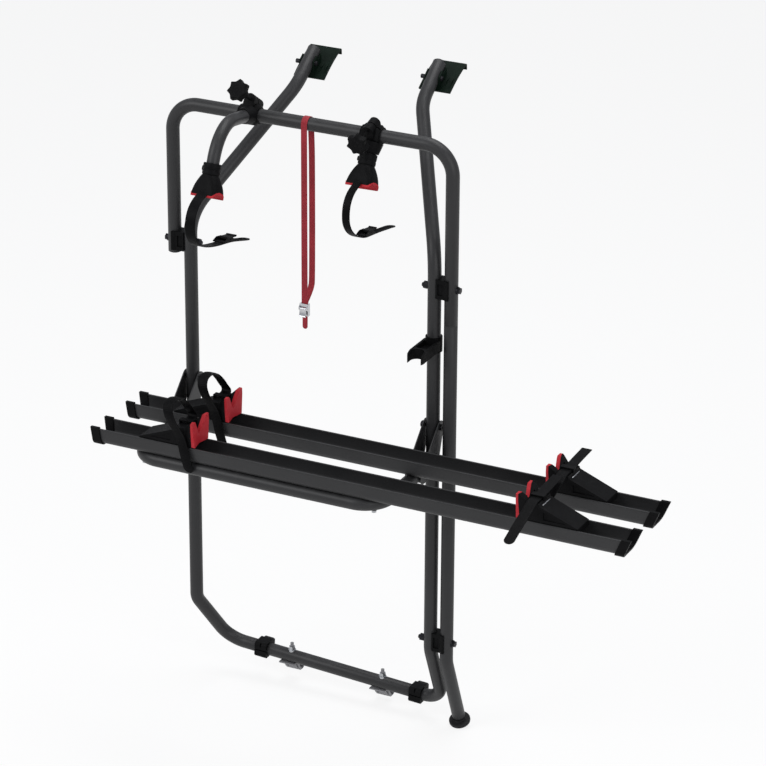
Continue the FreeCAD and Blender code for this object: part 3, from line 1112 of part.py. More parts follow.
# Security strap: webbing over the top bar down to a cam buckle
over = TUBE_R + 0.5 * WEB_T + 0.25
web_line = []
for k in range(13):
    a = math.pi * k / 12.0
    web_line.append((over * math.cos(a), TOP_BAR_Z + over * math.sin(a)))
front = [(-over, 560.0), (-over, 420.0), (-over, WEB_BUCKLE_Z + 22.0), (-over, WEB_BUCKLE_Z - 12.0)]
back = [(over + 3.6, 620.0), (over + 4.6, 560.0), (over + 4.6, 420.0), (over + 3.0, 318.0), (over - 1.0, 298.0), (over - 10.0, WEB_BUCKLE_Z + 34.0),
        (over - 20.0, WEB_BUCKLE_Z + 25.0),
        (-over + 3.2, WEB_BUCKLE_Z + 16.0), (-over + 2.6, WEB_BUCKLE_Z - 12.0)]
loop = back[::-1] + web_line + front
webbing = strip(loop, WEB_W, WEB_T, WEB_X)
tail_line = [(-over + 2.6, WEB_BUCKLE_Z - 12.0), (-over + 2.2, WEB_BUCKLE_Z - 30.0), (-over + 2.0, WEB_TIP_Z)]
tail = strip([(-over + 1.9, WEB_BUCKLE_Z - 11.0), (-over + 1.6, WEB_BUCKLE_Z - 30.0), (-over + 1.4, WEB_TIP_Z)],
             12.4, WEB_T, WEB_X)
tip = prism_xz([(WEB_X - 8, WEB_BUCKLE_Z), (WEB_X + 8, WEB_BUCKLE_Z), (WEB_X + 8, WEB_TIP_Z + 8),
                (WEB_X + 2, WEB_TIP_Z - 0.5), (WEB_X - 2, WEB_TIP_Z - 0.5), (WEB_X - 8, WEB_TIP_Z + 8)], -40, 0)
tail = tail.common(tip)
webbing = webbing.fuse(tail)
webbing = max(webbing.Solids, key=lambda s_: s_.Volume)
bw = 0.5 * WEB_W + 1.0
cam_frame = box(WEB_X - bw - 2.0, WEB_X + bw + 2.0, -over - 4.4, -over - 1.4, WEB_BUCKLE_Z - 12, WEB_BUCKLE_Z + 16)
for sign in (-1, 1):
    xa = WEB_X + sign * bw
    xb = WEB_X + sign * (bw + 2.0)
    cam_frame = cam_frame.fuse(box(min(xa, xb), max(xa, xb), -over - 4.4, -over + 5.4, WEB_BUCKLE_Z - 13, WEB_BUCKLE_Z + 15))
cam_frame = cam_frame.fuse(rod(V(WEB_X - bw - 1, -over + 4.2 + 0.6, WEB_BUCKLE_Z - 9),
                               V(WEB_X + bw + 1, -over + 4.2 + 0.6, WEB_BUCKLE_Z - 9), 1.0))
cam_frame = cam_frame.cut(box(WEB_X - 5, WEB_X + 5, -over - 6, -over - 1, WEB_BUCKLE_Z - 2, WEB_BUCKLE_Z + 9))
pin_y = -over - 1.4 - 5.6
for sign in (-1, 1):
    xa = WEB_X + sign * bw
    xb = WEB_X + sign * (bw + 2.0)
    lug = prism_yz([(-over - 3.0, WEB_BUCKLE_Z - 2), (-over - 3.0, WEB_BUCKLE_Z + 14), (pin_y - 2.6, WEB_BUCKLE_Z + 8),
                    (pin_y - 2.6, WEB_BUCKLE_Z + 3)], min(xa, xb), max(xa, xb))
    cam_frame = cam_frame.fuse(lug)
cam_frame = cam_frame.fuse(rod(V(WEB_X - bw - 2.6, pin_y, WEB_BUCKLE_Z + 5.5), V(WEB_X + bw + 2.6, pin_y, WEB_BUCKLE_Z + 5.5), 1.2))
lever_cam = rod(V(WEB_X - bw + 0.3, pin_y, WEB_BUCKLE_Z + 5.5), V(WEB_X + bw - 0.3, pin_y, WEB_BUCKLE_Z + 5.5), 2.3)
thumb = prism_yz([(pin_y - 2.2, WEB_BUCKLE_Z + 6.0), (pin_y - 0.6, WEB_BUCKLE_Z + 6.5), (pin_y - 1.6, WEB_BUCKLE_Z - 9.0),
                  (pin_y - 4.6, WEB_BUCKLE_Z - 13.0), (pin_y - 5.6, WEB_BUCKLE_Z - 11.4), (pin_y - 3.4, WEB_BUCKLE_Z - 7.0)],
                 WEB_X - bw + 0.3, WEB_X + bw - 0.3)
lever_cam = lever_cam.fuse(thumb)
lever_cam = lever_cam.cut(rod(V(WEB_X - 20, pin_y, WEB_BUCKLE_Z + 5.5), V(WEB_X + 20, pin_y, WEB_BUCKLE_Z + 5.5), 1.26))

# Foot under the right leg
foot_dir = unit(V(LEG_FOOT_X - OUTER_X, LEG_FOOT_Y, LEG_FOOT_Z - LEG_KNEE_Z))
foot_end = V(LEG_FOOT_X, LEG_FOOT_Y, LEG_FOOT_Z)


def down_leg(t):
    return foot_end.add(V(foot_dir.x * t, foot_dir.y * t, foot_dir.z * t))


foot_insert = rod(down_leg(-16.0), down_leg(0.0), TUBE_R - TUBE_WALL - 0.05)
foot_insert = foot_insert.fuse(rod(down_leg(0.0), down_leg(2.2), TUBE_R + 0.6))
foot_insert = foot_insert.cut(rod(down_leg(-20.0), down_leg(4.0), 5.06))
foot_stud = rod(down_leg(-14.0), down_leg(13.5), 5.0)
foot_stud = foot_stud.fuse(hexagon(down_leg(2.6), foot_dir, 13.0, 4.0))
pad_local = Part.makeCylinder(24.5, 10.0)
edges = [e for e in pad_local.Edges if e.Length > 100]
pad_local = pad_local.makeChamfer(3.0, edges)
pad_local = pad_local.fuse(Part.makeCone(13.0, 9.5, 4.0, V(0, 0, 9.5)))
pad_local = pad_local.cut(Part.makeCylinder(5.06, 10.0, V(0, 0, 6.5)))
pad_local = pad_local.cut(Part.makeCylinder(18.0, 1.2).cut(Part.makeCylinder(15.5, 1.2)))
foot_pad = place(pad_local, down_leg(20.4), V(-foot_dir.x, -foot_dir.y, -foot_dir.z))

# Export
save("inner_left_tube", inner_left)
save("inner_right_tube", inner_right)
save("bottom_bar", bottom_bar)
save("outer_hoop", outer_hoop)
save("outer_right_leg", outer_right_leg)
save("joint_spigots", *spigots)
save("tube_plugs", *plugs, foot_insert)
save("couplings", *couplings)
save("coupling_bolts", *coupling_bolts)
save("coupling_nuts", *coupling_nuts)
save("pad_clamps", *pad_clamps)
save("door_pads", *door_pads, *hook_pads)
save("hook_nuts", *hook_nuts)
save("low_hook_left", low_hook(LOW_HOOK_LEFT_X))
save("low_hook_right", low_hook(LOW_HOOK_RIGHT_X))
save("top_hooks", *hook_plates)
save("hook_bolts", *hook_bolts)
save("snap_clip", clip)
save("pivot_bolts", *pivot_bolts)
save("platform_tube", platform_tube)
save("pivot_ears", *ears)
save("rail_back", rails["rail_back"])
save("rail_front", rails["rail_front"])
save("rail_caps", *rail_caps)
save("rail_bolts", *bolts)
for tag in ("back_left", "front_left", "back_right", "front_right"):
    block, liner, strap = holders[tag]
    save("holder_" + tag, block)
    save("liner_" + tag, *liner)
    save("strap_" + tag, strap)
save("bush_a", bush_a)
save("clamp_a", clamp_a)
save("arm_tube_a", arm_tube_a)
save("knob_a", knob_a)
save("jaw_a", jaw_a)
save("jaw_liner_a", liner_a)
save("arm_strap_a", arm_strap_a)
save("buckle_a", buckle_a)
save("lever_a", lever_a)
save("bush_b", bush_b)
save("clamp_b", clamp_b.fuse(arm_tube_b))
save("knob_b", knob_b)
save("jaw_b", jaw_b)
save("jaw_liner_b", liner_b)
save("arm_strap_b", arm_strap_b)
save("buckle_b", buckle_b)
save("lever_b", lever_b)
save("security_strap", webbing)
save("cam_buckle", cam_frame)
save("cam_lever", lever_cam)
save("foot_stud", foot_stud)
save("foot_pad", foot_pad)
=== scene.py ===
import json
import math

import bmesh
import bpy
import numpy as np
from mathutils import Matrix, Vector


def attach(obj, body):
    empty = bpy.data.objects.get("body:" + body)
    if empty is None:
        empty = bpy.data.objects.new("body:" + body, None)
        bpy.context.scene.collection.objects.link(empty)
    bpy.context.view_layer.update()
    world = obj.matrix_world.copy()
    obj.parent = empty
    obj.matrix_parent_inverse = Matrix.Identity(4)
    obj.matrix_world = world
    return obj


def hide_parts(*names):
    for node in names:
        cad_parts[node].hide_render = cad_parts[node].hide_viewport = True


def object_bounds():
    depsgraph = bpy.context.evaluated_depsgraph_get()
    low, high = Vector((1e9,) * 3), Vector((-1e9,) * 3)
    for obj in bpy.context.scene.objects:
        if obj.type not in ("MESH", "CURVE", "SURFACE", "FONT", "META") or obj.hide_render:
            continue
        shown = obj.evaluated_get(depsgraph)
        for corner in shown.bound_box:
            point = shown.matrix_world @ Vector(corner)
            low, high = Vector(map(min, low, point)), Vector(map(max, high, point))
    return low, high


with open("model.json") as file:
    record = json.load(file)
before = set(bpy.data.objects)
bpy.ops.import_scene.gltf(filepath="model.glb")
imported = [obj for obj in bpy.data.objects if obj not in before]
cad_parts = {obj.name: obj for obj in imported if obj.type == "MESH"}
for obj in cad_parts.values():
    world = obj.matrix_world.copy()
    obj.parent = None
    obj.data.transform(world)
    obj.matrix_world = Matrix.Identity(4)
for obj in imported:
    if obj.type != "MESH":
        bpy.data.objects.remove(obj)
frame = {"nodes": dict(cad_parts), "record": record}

cad_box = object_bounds()

# Sizes are in millimetres in the working frame of the part: X across the doors,
# Y towards the van, Z up from the lips of the wheel rails.
SEAT = np.array([0.0, 344.0, 721.739])
TUBE_R = 15.0
SKIN = 0.02
OUTER_X = 339.25
INNER_X = 299.3
HOOK_X = 154.5
TOP_BAR_Z = 679.0
PLATFORM_Z = -53.5
PLATFORM_Y = (-17.5, -270.0)
RAILS_Y = {"back": -100.0, "front": -253.5}
RAIL_LEFT_X = -395.6
RAIL_LEN = 1280.0
RAIL_HALF = 31.5
RAIL_DEPTH = 38.5
RAIL_SHEET = 2.4
RAIL_BEND = 15.0
RAIL_LEAN = 1.6
RAIL_LEAN_ANGLE = 2.4
RAIL_SLANT_LEFT = 5.0
RAIL_SLANT_RIGHT = 16.0
RAIL_SLANT_RUN = 30.0
HOLDER_LEFT_X = -139.0
HOLDER_RIGHT_X = 629.0
HOLDER_PIN_Z = 35.4
STRAP_SEAT_Z = 43.5 + 1.2 + 1.25
RIB_PITCH = 3.6
CLAMP_X = {"a": -145.5, "b": 150.0}
JAW_X = {"a": -122.6, "b": 152.0}
ARM_TUBE_R = 14.0
ARM_BEND_R = 90.0
MOUTH_LOW = 5.0
BELL_HIGH = 50.0
COLLAR_HIGH = 74.0
CHANNEL_R = 23.6
BIKE_TUBE_R = 20.0
WEB_X = -7.0
WEB_WIDTH = 14.6
WEB_THICK = 1.5
BUCKLE_Z = 253.0
FOOT = (344.0, 60.0, -704.0)


def metres(points):
    """Working-frame millimetres less the seat of the top hooks, times 0.001."""
    return (np.asarray(points, float) - SEAT) * 0.001


# Shader expressions
class Wire:
    """A node socket. The operators add Math nodes, so masks are written as sums and products."""

    def __init__(self, finish, socket):
        self.finish = finish
        self.socket = socket

    def _math(self, operation, a, b=0.5):
        return self.finish.node("ShaderNodeMath", {"operation": operation}, {0: a, 1: b})

    def __add__(self, other):
        return self._math("ADD", self, other)

    __radd__ = __add__

    def __sub__(self, other):
        return self._math("SUBTRACT", self, other)

    def __rsub__(self, other):
        return self._math("SUBTRACT", other, self)

    def __mul__(self, other):
        return self._math("MULTIPLY", self, other)

    __rmul__ = __mul__

    def sine(self):
        return self._math("SINE", self)

    def above(self, limit):
        return self._math("GREATER_THAN", self, limit)

    def band(self, low, high):
        """Goes smoothly from 0 to 1 as the value goes from low to high."""
        ends = {"From Min": low, "From Max": high, "To Min": 0.0, "To Max": 1.0}
        smooth = {"interpolation_type": "SMOOTHSTEP"}
        return self.finish.node("ShaderNodeMapRange", smooth, {"Value": self, **ends})


class Finish:
    """A material on one Principled shader, with its nodes made by a single method."""

    def __init__(self, name, metallic=0.0, specular=0.5):
        self.material = bpy.data.materials.new(name)
        self.material.use_nodes = True
        self.tree = self.material.node_tree
        self.shader = self.tree.nodes["Principled BSDF"]
        self.shader.inputs["Metallic"].default_value = metallic
        self.shader.inputs["Specular IOR Level"].default_value = specular
        self.place = self.node("ShaderNodeTexCoord", out="Object")

    def node(self, kind, settings=None, values=None, out=0):
        made = self.tree.nodes.new(kind)
        for key, value in (settings or {}).items():
            setattr(made, key, value)
        for key, value in (values or {}).items():
            self.feed(made.inputs[key], value)
        return Wire(self, made.outputs[out])

    def feed(self, socket, value):
        if isinstance(value, Wire):
            self.tree.links.new(value.socket, socket)
        elif isinstance(value, (tuple, list)) and socket.type == "RGBA" and len(value) == 3:
            socket.default_value = tuple(value) + (1.0,)
        else:
            socket.default_value = value

    def set(self, **values):
        for key, value in values.items():
            self.feed(self.shader.inputs[key.replace("_", " ")], value)

    def stretched(self, scale):
        return self.node("ShaderNodeMapping", None, {"Vector": self.place, "Scale": scale})

    def cloud(self, scale, detail=3.0, rough=0.55, where=None):
        values = {"Vector": where or self.place, "Scale": scale, "Detail": detail, "Roughness": rough}
        return self.node("ShaderNodeTexNoise", {"noise_dimensions": "3D"}, values)

    def cells(self, scale):
        values = {"Vector": self.place, "Scale": scale}
        return self.node("ShaderNodeTexVoronoi", {"feature": "F1"}, values)

    def blend(self, mask, first, second):
        made = self.tree.nodes.new("ShaderNodeMix")
        made.data_type = "RGBA"
        self.feed(made.inputs["Factor"], mask)
        self.feed(made.inputs[6], first)
        self.feed(made.inputs[7], second)
        return Wire(self, made.outputs[2])

    def relief(self, height, depth, strength):
        """Bump of the given depth in metres feeds Normal."""
        values = {"Height": height, "Distance": depth, "Strength": strength}
        self.set(Normal=self.node("ShaderNodeBump", None, values))

    def facing_up(self):
        normal = self.node("ShaderNodeNewGeometry", out="Normal")
        return self.node("ShaderNodeSeparateXYZ", None, {"Vector": normal}, out=2)


def shade(hex_colour, gain=1.0):
    """sRGB hex to linear numbers, times gain."""
    out = []
    for k in (1, 3, 5):
        v = int(hex_colour[k:k + 2], 16) / 255.0
        out.append(gain * (v / 12.92 if v <= 0.04045 else ((v + 0.055) / 1.055) ** 2.4))
    return tuple(out)


def powder_coat(name, colour, rough=0.46):
    """Satin powder coat: orange peel over a fine grain, slow drifts of tone, dust on top, small scuffs."""
    f = Finish(name, specular=0.34)
    drift = f.cloud(7.0, 4.0)
    grain = f.cloud(1400.0, 2.0, 0.7)
    peel = f.cloud(420.0, 1.5, 0.4)
    dust = (f.facing_up().band(0.2, 1.0) * f.cloud(30.0, 5.0, 0.65).band(0.42, 0.75)) * 0.07
    scuff = f.cloud(60.0, 6.0, 0.8, f.stretched((1.0, 1.0, 0.12))).band(0.66, 0.74) * 0.14
    tone = f.blend(drift.band(0.3, 0.7), shade(colour, 0.86), shade(colour, 1.14))
    tone = f.blend(grain.band(0.35, 0.75) * 0.35, tone, shade(colour, 1.7))
    tone = f.blend(dust + scuff * 0.4, tone, shade("#77787c"))
    f.set(Base_Color=tone, Roughness=rough + 0.16 * (grain - 0.5) + 0.22 * dust + 0.12 * scuff)
    f.relief(0.55 * peel + 0.45 * grain, 0.00016, 0.5)
    return f.material


def moulded(name, colour, rough=0.52, grain_scale=1700.0, depth=0.00010):
    """Moulded plastic: leather-like cells, flow lines, paler dust in patches, slightly shiny rub marks."""
    f = Finish(name, specular=0.06)
    cell = f.cells(grain_scale)
    flow = f.cloud(18.0, 4.0, 0.5, f.stretched((1.0, 1.0, 3.0)))
    rub = f.cloud(34.0, 5.0, 0.7).band(0.56, 0.72)
    dust = f.facing_up().band(0.1, 0.95) * f.cloud(55.0, 5.0, 0.7).band(0.45, 0.8) * 0.03
    tone = f.blend(flow.band(0.3, 0.7), shade(colour, 0.82), shade(colour, 1.25))
    tone = f.blend(dust, tone, shade("#6d6e70"))
    f.set(Base_Color=tone, Roughness=rough + 0.12 * (cell - 0.4) - 0.10 * rub + 0.2 * dust)
    f.relief(cell.band(0.05, 0.75) * 0.8 + f.cloud(500.0, 2.0) * 0.4, depth, 0.6)
    return f.material


def soft_rubber(name, colour, pale, rough=0.68):
    """Matt rubber: fine pores, bloom that pales it in clouds, darker handled spots."""
    f = Finish(name, specular=0.3)
    pores = f.cells(2300.0)
    bloom = f.cloud(42.0, 6.0, 0.65).band(0.45, 0.78)
    soil = f.cloud(90.0, 4.0, 0.7).band(0.55, 0.8)
    tone = f.blend(bloom * 0.3, shade(colour), shade(pale))
    tone = f.blend(soil * 0.35, tone, shade(colour, 0.45))
    f.set(Base_Color=tone, Roughness=rough + 0.1 * bloom - 0.08 * soil)
    f.relief(pores * 0.6 + f.cloud(800.0, 3.0) * 0.5, 0.00012, 0.6)
    return f.material


def bright_metal(name, colour, rough=0.3, along=(1.0, 1.0, 0.05), spots=0.3):
    """Plated metal: fine drawn lines along one axis, clouded zinc flowers and a few dull spots."""
    f = Finish(name, metallic=1.0)
    lines = f.cloud(2600.0, 3.0, 0.6, f.stretched(along))
    flowers = f.cells(240.0)
    dull = f.cloud(160.0, 5.0, 0.7).band(0.58, 0.72)
    tone = f.blend(flowers.band(0.1, 0.8) * 0.5, shade(colour, 0.86), shade(colour, 1.06))
    tone = f.blend(dull * spots, tone, shade("#6e6a63"))
    f.set(Base_Color=tone, Roughness=rough + 0.14 * (lines - 0.5) + 0.25 * dull)
    f.relief(lines, 0.00006, 0.5)
    return f.material


def woven(name, colour, light):
    """Flat webbing on its own UV, u in widths and v in metres: warp ribs along it, weft picks across."""
    f = Finish(name, specular=0.25)
    uv = f.node("ShaderNodeUVMap", out="UV")
    across = f.node("ShaderNodeSeparateXYZ", None, {"Vector": uv}, out=0)
    along = f.node("ShaderNodeSeparateXYZ", None, {"Vector": uv}, out=1)
    warp = (across * (2 * math.pi * 9.0)).sine()
    pick = (along * (2 * math.pi * 520.0) + (across * (math.pi * 9.0)).sine().above(0.0) * math.pi).sine()
    weave = warp.band(-1.0, 1.0) * 0.6 + pick.band(-1.0, 1.0) * 0.5
    fuzz = f.cloud(1800.0, 4.0, 0.7)
    fade = f.cloud(26.0, 4.0, 0.6).band(0.35, 0.75)
    tone = f.blend(weave * 0.55 + fuzz * 0.2, shade(colour, 0.55), shade(light))
    tone = f.blend(fade * 0.25, tone, shade(light, 1.2))
    f.set(Base_Color=tone, Roughness=0.78 + 0.1 * (fuzz - 0.5))
    f.relief(weave + 0.3 * fuzz, 0.00035, 0.8)
    f.shader.inputs["Sheen Weight"].default_value = 0.15
    return f.material


FINISH = {
    "powder_coat": powder_coat("satin_powder_coat", "#242425"),
    "rail_coat": powder_coat("rail_powder_coat", "#262627", 0.5),
    "black_plastic": moulded("grained_black_plastic", "#0c0c0d"),
    "strap_black": moulded("strap_plastic", "#080809", 0.5, 900.0, 0.00014),
    "black_rubber": soft_rubber("pad_rubber", "#101011", "#242426"),
    "red_rubber": soft_rubber("red_liner_rubber", "#a81b26", "#bf4750"),
    "red_webbing": woven("red_webbing_weave", "#921824", "#ac303b"),
    "grey_coat": powder_coat("grey_plate_coat", "#767678", 0.42),
    "black_steel": bright_metal("black_bolt_steel", "#2d2d30", 0.42, (1.0, 1.0, 1.0), 0.15),
    "zinc_steel": bright_metal("zinc_plate", "#b4b6b9", 0.34, (1.0, 1.0, 1.0)),
    "light_metal": bright_metal("satin_light_metal", "#c2c3c5", 0.38, (0.06, 1.0, 1.0)),
    "buckle_metal": bright_metal("bright_buckle_plate", "#c9cacd", 0.2, (1.0, 1.0, 0.06), 0.15),
}
body_of = {node: body for body, nodes in frame["record"]["behaviour"]["bodies"].items() for node in nodes}
slot_of = {entry["node"]: entry["material_slot"] for entry in frame["record"]["subparts"]}
for node, thing in frame["nodes"].items():
    for k in range(len(thing.material_slots)):
        thing.material_slots[k].material = FINISH[slot_of[node]]


# Mesh helpers
def shell(name, patches, node, slot=None, sharp=38.0, replaces=True, uv=None):
    """Joins patches of points in mm and faces into one smooth piece, with edges sharp above an angle."""
    verts = []
    faces = []
    base = 0
    for points, sides in patches:
        points = np.asarray(points, float).reshape(-1, 3)
        verts.append(points)
        faces.extend([tuple(int(i) + base for i in face) for face in sides])
        base += len(points)
    mesh = bpy.data.meshes.new(name)
    mesh.from_pydata(metres(np.concatenate(verts)).tolist(), [], faces)
    if uv is not None:
        layer = mesh.uv_layers.new(name="weave")
        corner = np.empty(len(mesh.loops), dtype=np.int32)
        mesh.loops.foreach_get("vertex_index", corner)
        layer.data.foreach_set("uv", np.asarray(uv, np.float32)[corner].ravel())
    return finished(name, mesh, node, slot, sharp, replaces)


def finished(name, mesh, node, slot, sharp, replaces=True, turn=True):
    """Links the mesh as a smooth piece on its node's body, in the node's slot unless one is named."""
    mesh.validate()
    if turn:
        work = bmesh.new()
        work.from_mesh(mesh)
        bmesh.ops.recalc_face_normals(work, faces=work.faces)
        work.to_mesh(mesh)
        work.free()
    mesh.polygons.foreach_set("use_smooth", np.ones(len(mesh.polygons), dtype=bool))
    mesh.set_sharp_from_angle(angle=math.radians(sharp))
    thing = bpy.data.objects.new(name, mesh)
    bpy.context.scene.collection.objects.link(thing)
    slot = slot or slot_of[node]
    mesh.materials.append(FINISH[slot])
    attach(thing, body_of[node])
    if replaces:
        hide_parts(node)
    return thing


def rings_to_faces(count, sides):
    """Quads between neighbouring rings of points, and a flat face over each end."""
    i = np.arange(count - 1)[:, None]
    j = np.arange(sides)[None, :]
    k = (j + 1) % sides
    near = i * sides
    far = near + sides
    quads = np.stack([near + j, near + k, far + k, far + j], axis=-1).reshape(-1, 4)
    faces = [tuple(q) for q in quads.tolist()]
    faces.append(tuple(range(sides - 1, -1, -1)))
    faces.append(tuple(range((count - 1) * sides, count * sides)))
    return faces


def superellipse(angle, power_x, power_y):
    """Cosine and sine of the angle, each with its size raised to a power and its sign kept."""
    c = np.cos(angle)
    s = np.sin(angle)
    return np.sign(c) * np.abs(c) ** power_x, np.sign(s) * np.abs(s) ** power_y


def unit(v):
    v = np.asarray(v, float)
    return v / np.linalg.norm(v)


def rounded_path(corners, radii):
    """Straight runs joined by arcs, in steps of 4 degrees. An arc of radius r at a corner that turns by the
    angle a starts r tan(a/2) before it."""
    corners = [np.asarray(c, float) for c in corners]
    out = [corners[0]]
    for k, r in enumerate(radii):
        p, c, q = corners[k], corners[k + 1], corners[k + 2]
        a = unit(c - p)
        b = unit(q - c)
        angle = math.acos(np.clip(a @ b, -1, 1))
        cut = r * math.tan(0.5 * angle)
        centre = c - a * cut + unit(b - a * (a @ b)) * r
        steps = max(3, int(math.ceil(math.degrees(angle) / 4.0)))
        t = np.linspace(0.0, angle, steps + 1)[:, None]
        side = unit(b - a * (a @ b))
        out.extend(list(centre - side * r * np.cos(t) + a * r * np.sin(t)))
    out.append(corners[-1])
    return np.array(out)


def carried_frames(path, hint):
    """Unit vectors across a path: each is the one before it less its part along the new tangent."""
    tangents = np.gradient(path, axis=0)
    tangents[0] = path[1] - path[0]
    tangents[-1] = path[-1] - path[-2]
    tangents /= np.linalg.norm(tangents, axis=1)[:, None]
    across = unit(np.asarray(hint, float) - tangents[0] * (tangents[0] @ hint))
    first = []
    for t in tangents:
        across = unit(across - t * (across @ t))
        first.append(across)
    first = np.array(first)
    return tangents, first, np.cross(tangents, first)


def tube_patch(path, r, wall=1.75, depth=26.0, sides=40):
    """Circles carried along a path. Each end rolls over a 0.5 mm round and goes back down the bore."""
    t, u, v = carried_frames(path, (0.31, 0.62, 0.72))
    inner = r - wall
    head = [(depth, 0.4), (depth, inner), (0.5, inner), (0.0, inner + 0.4),
            (0.0, r - 0.5), (0.15, r - 0.15), (0.5, r)]
    centres = [path[0] + t[0] * s for s, _ in head]
    radii = [q for _, q in head]
    tu = [u[0]] * len(head)
    tv = [v[0]] * len(head)
    middle = range(1, len(path) - 1)
    centres += [path[k] for k in middle]
    radii += [r] * len(middle)
    tu += [u[k] for k in middle]
    tv += [v[k] for k in middle]
    centres += [path[-1] - t[-1] * s for s, _ in head[::-1]]
    radii += [q for _, q in head[::-1]]
    tu += [u[-1]] * len(head)
    tv += [v[-1]] * len(head)
    a = np.linspace(0, 2 * math.pi, sides, endpoint=False)[None, :, None]
    spokes = np.cos(a) * np.array(tu)[:, None, :] + np.sin(a) * np.array(tv)[:, None, :]
    points = np.array(centres)[:, None, :] + np.array(radii)[:, None, None] * spokes
    return points.reshape(-1, 3), rings_to_faces(len(centres), sides)


def smooth_line(points, step):
    """Catmull-Rom curve through points in the plane across X, then evenly spaced by length."""
    p = np.asarray(points, float)
    p = np.vstack([2 * p[0] - p[1], p, 2 * p[-1] - p[-2]])
    t = np.linspace(0, 1, 12, endpoint=False)[:, None]
    rows = []
    for k in range(1, len(p) - 2):
        a, b, c, d = p[k - 1:k + 3]
        rows.append(0.5 * (2 * b + (c - a) * t + (2 * a - 5 * b + 4 * c - d) * t ** 2
                           + (3 * b - a - 3 * c + d) * t ** 3))
    rows.append(p[-2][None, :])
    line = np.vstack(rows)
    length = np.concatenate([[0], np.cumsum(np.linalg.norm(np.diff(line, axis=0), axis=1))])
    s = np.linspace(0, length[-1], max(8, int(length[-1] / step)))
    return np.stack([np.interp(s, length, line[:, k]) for k in range(line.shape[1])], axis=1), s


def strap_patch(points, x_mid, width, thick, tip, step, rib=0.0, ribbed=(0.0, 1.0), rails=0.0, rib_side=1.0,
                lean=0.0, z_still=0.0):
    """A rounded flat section carried along a (y, z) line. Its outer face rises by rib in teeth between the
    shares of the length that ribbed gives, and two thin rails run along its borders. The width closes to a
    round tip over the last part of the length. X goes by minus lean times the height over z_still."""
    line, s = smooth_line(points, step)
    length = s[-1]
    t = np.gradient(line, axis=0)
    t /= np.linalg.norm(t, axis=1)[:, None]
    normal = np.stack([t[:, 1], -t[:, 0]], axis=1) * rib_side
    cx, cn = superellipse(np.linspace(0, 2 * math.pi, 48, endpoint=False), 0.22, 0.22 * 1.6)
    end = np.clip((s - (length - tip)) / tip, 0, 1)
    half = 0.5 * width * np.sqrt(np.clip(1 - 0.93 * end ** 2.2, 0.02, 1))
    x = x_mid + half[:, None] * cx[None, :]
    wave = (s / RIB_PITCH) % 1.0
    tooth = np.clip(np.minimum(wave / 0.18, (1 - wave) / 0.75), 0, 1)
    live = ((s > ribbed[0] * length) & (s < ribbed[1] * length)).astype(float)
    inside = np.clip((0.72 - np.abs(cx)) / 0.06, 0, 1) * (cn > 0.3)
    border = np.clip(1 - np.abs(np.abs(cx) - 0.9) / 0.1, 0, 1) * (cn > 0.3)
    lift = rib * tooth[:, None] * live[:, None] * inside[None, :] + rails * border[None, :]
    off = 0.5 * thick * cn[None, :] + lift
    y = line[:, 0][:, None] + normal[:, 0][:, None] * off
    z = line[:, 1][:, None] + normal[:, 1][:, None] * off
    points = np.stack([x - lean * (z - z_still), y, z], axis=-1)
    widths = np.broadcast_to(0.5 + 0.5 * cx[None, :], x.shape)
    metres_on = np.broadcast_to(s[:, None] * 0.001, x.shape)
    uv = np.stack([widths, metres_on], axis=-1)
    return (points.reshape(-1, 3), rings_to_faces(len(s), len(cx))), uv.reshape(-1, 2)


def turned(profile, origin, axis, sides, scallop=np.ones_like):
    """A profile of (radius, height) turned about an axis other than X. scallop(angle) scales the radius."""
    axis = unit(axis)
    u = unit(np.cross(axis, (1.0, 0.0, 0.0)))
    v = np.cross(axis, u)
    a = np.linspace(0, 2 * math.pi, sides, endpoint=False)
    spoke = np.cos(a)[:, None] * u + np.sin(a)[:, None] * v
    rad = np.array([p[0] for p in profile])[:, None] * scallop(a)[None, :]
    high = np.array([p[1] for p in profile])
    points = np.asarray(origin, float) + rad[:, :, None] * spoke[None, :, :] + high[:, None, None] * axis
    return points.reshape(-1, 3), rings_to_faces(len(profile), sides)


def thread_patch(a, b, r, pitch, depth, sides):
    """A stud whose radius follows a triangle wave of height over pitch plus angle over a full turn."""
    a = np.asarray(a, float)
    b = np.asarray(b, float)
    length = np.linalg.norm(b - a)
    axis = unit(b - a)
    u = unit(np.cross(axis, (1.0, 0.2, 0.1)))
    v = np.cross(axis, u)
    n = int(length / (pitch / 8)) + 1
    h = np.linspace(0, length, n)[:, None]
    w = np.linspace(0, 2 * math.pi, sides, endpoint=False)[None, :]
    wave = (h / pitch + w / (2 * math.pi)) % 1.0
    fade = np.clip(np.minimum(h, length - h) / pitch, 0, 1)
    rad = r - depth * np.abs(2 * wave - 1) * (0.3 + 0.7 * fade) - 0.8 * (1 - fade) * 0.5
    spokes = np.cos(w)[:, :, None] * u + np.sin(w)[:, :, None] * v
    points = a + h[:, :, None] * axis + rad[:, :, None] * spokes
    return points.reshape(-1, 3), rings_to_faces(n, sides)


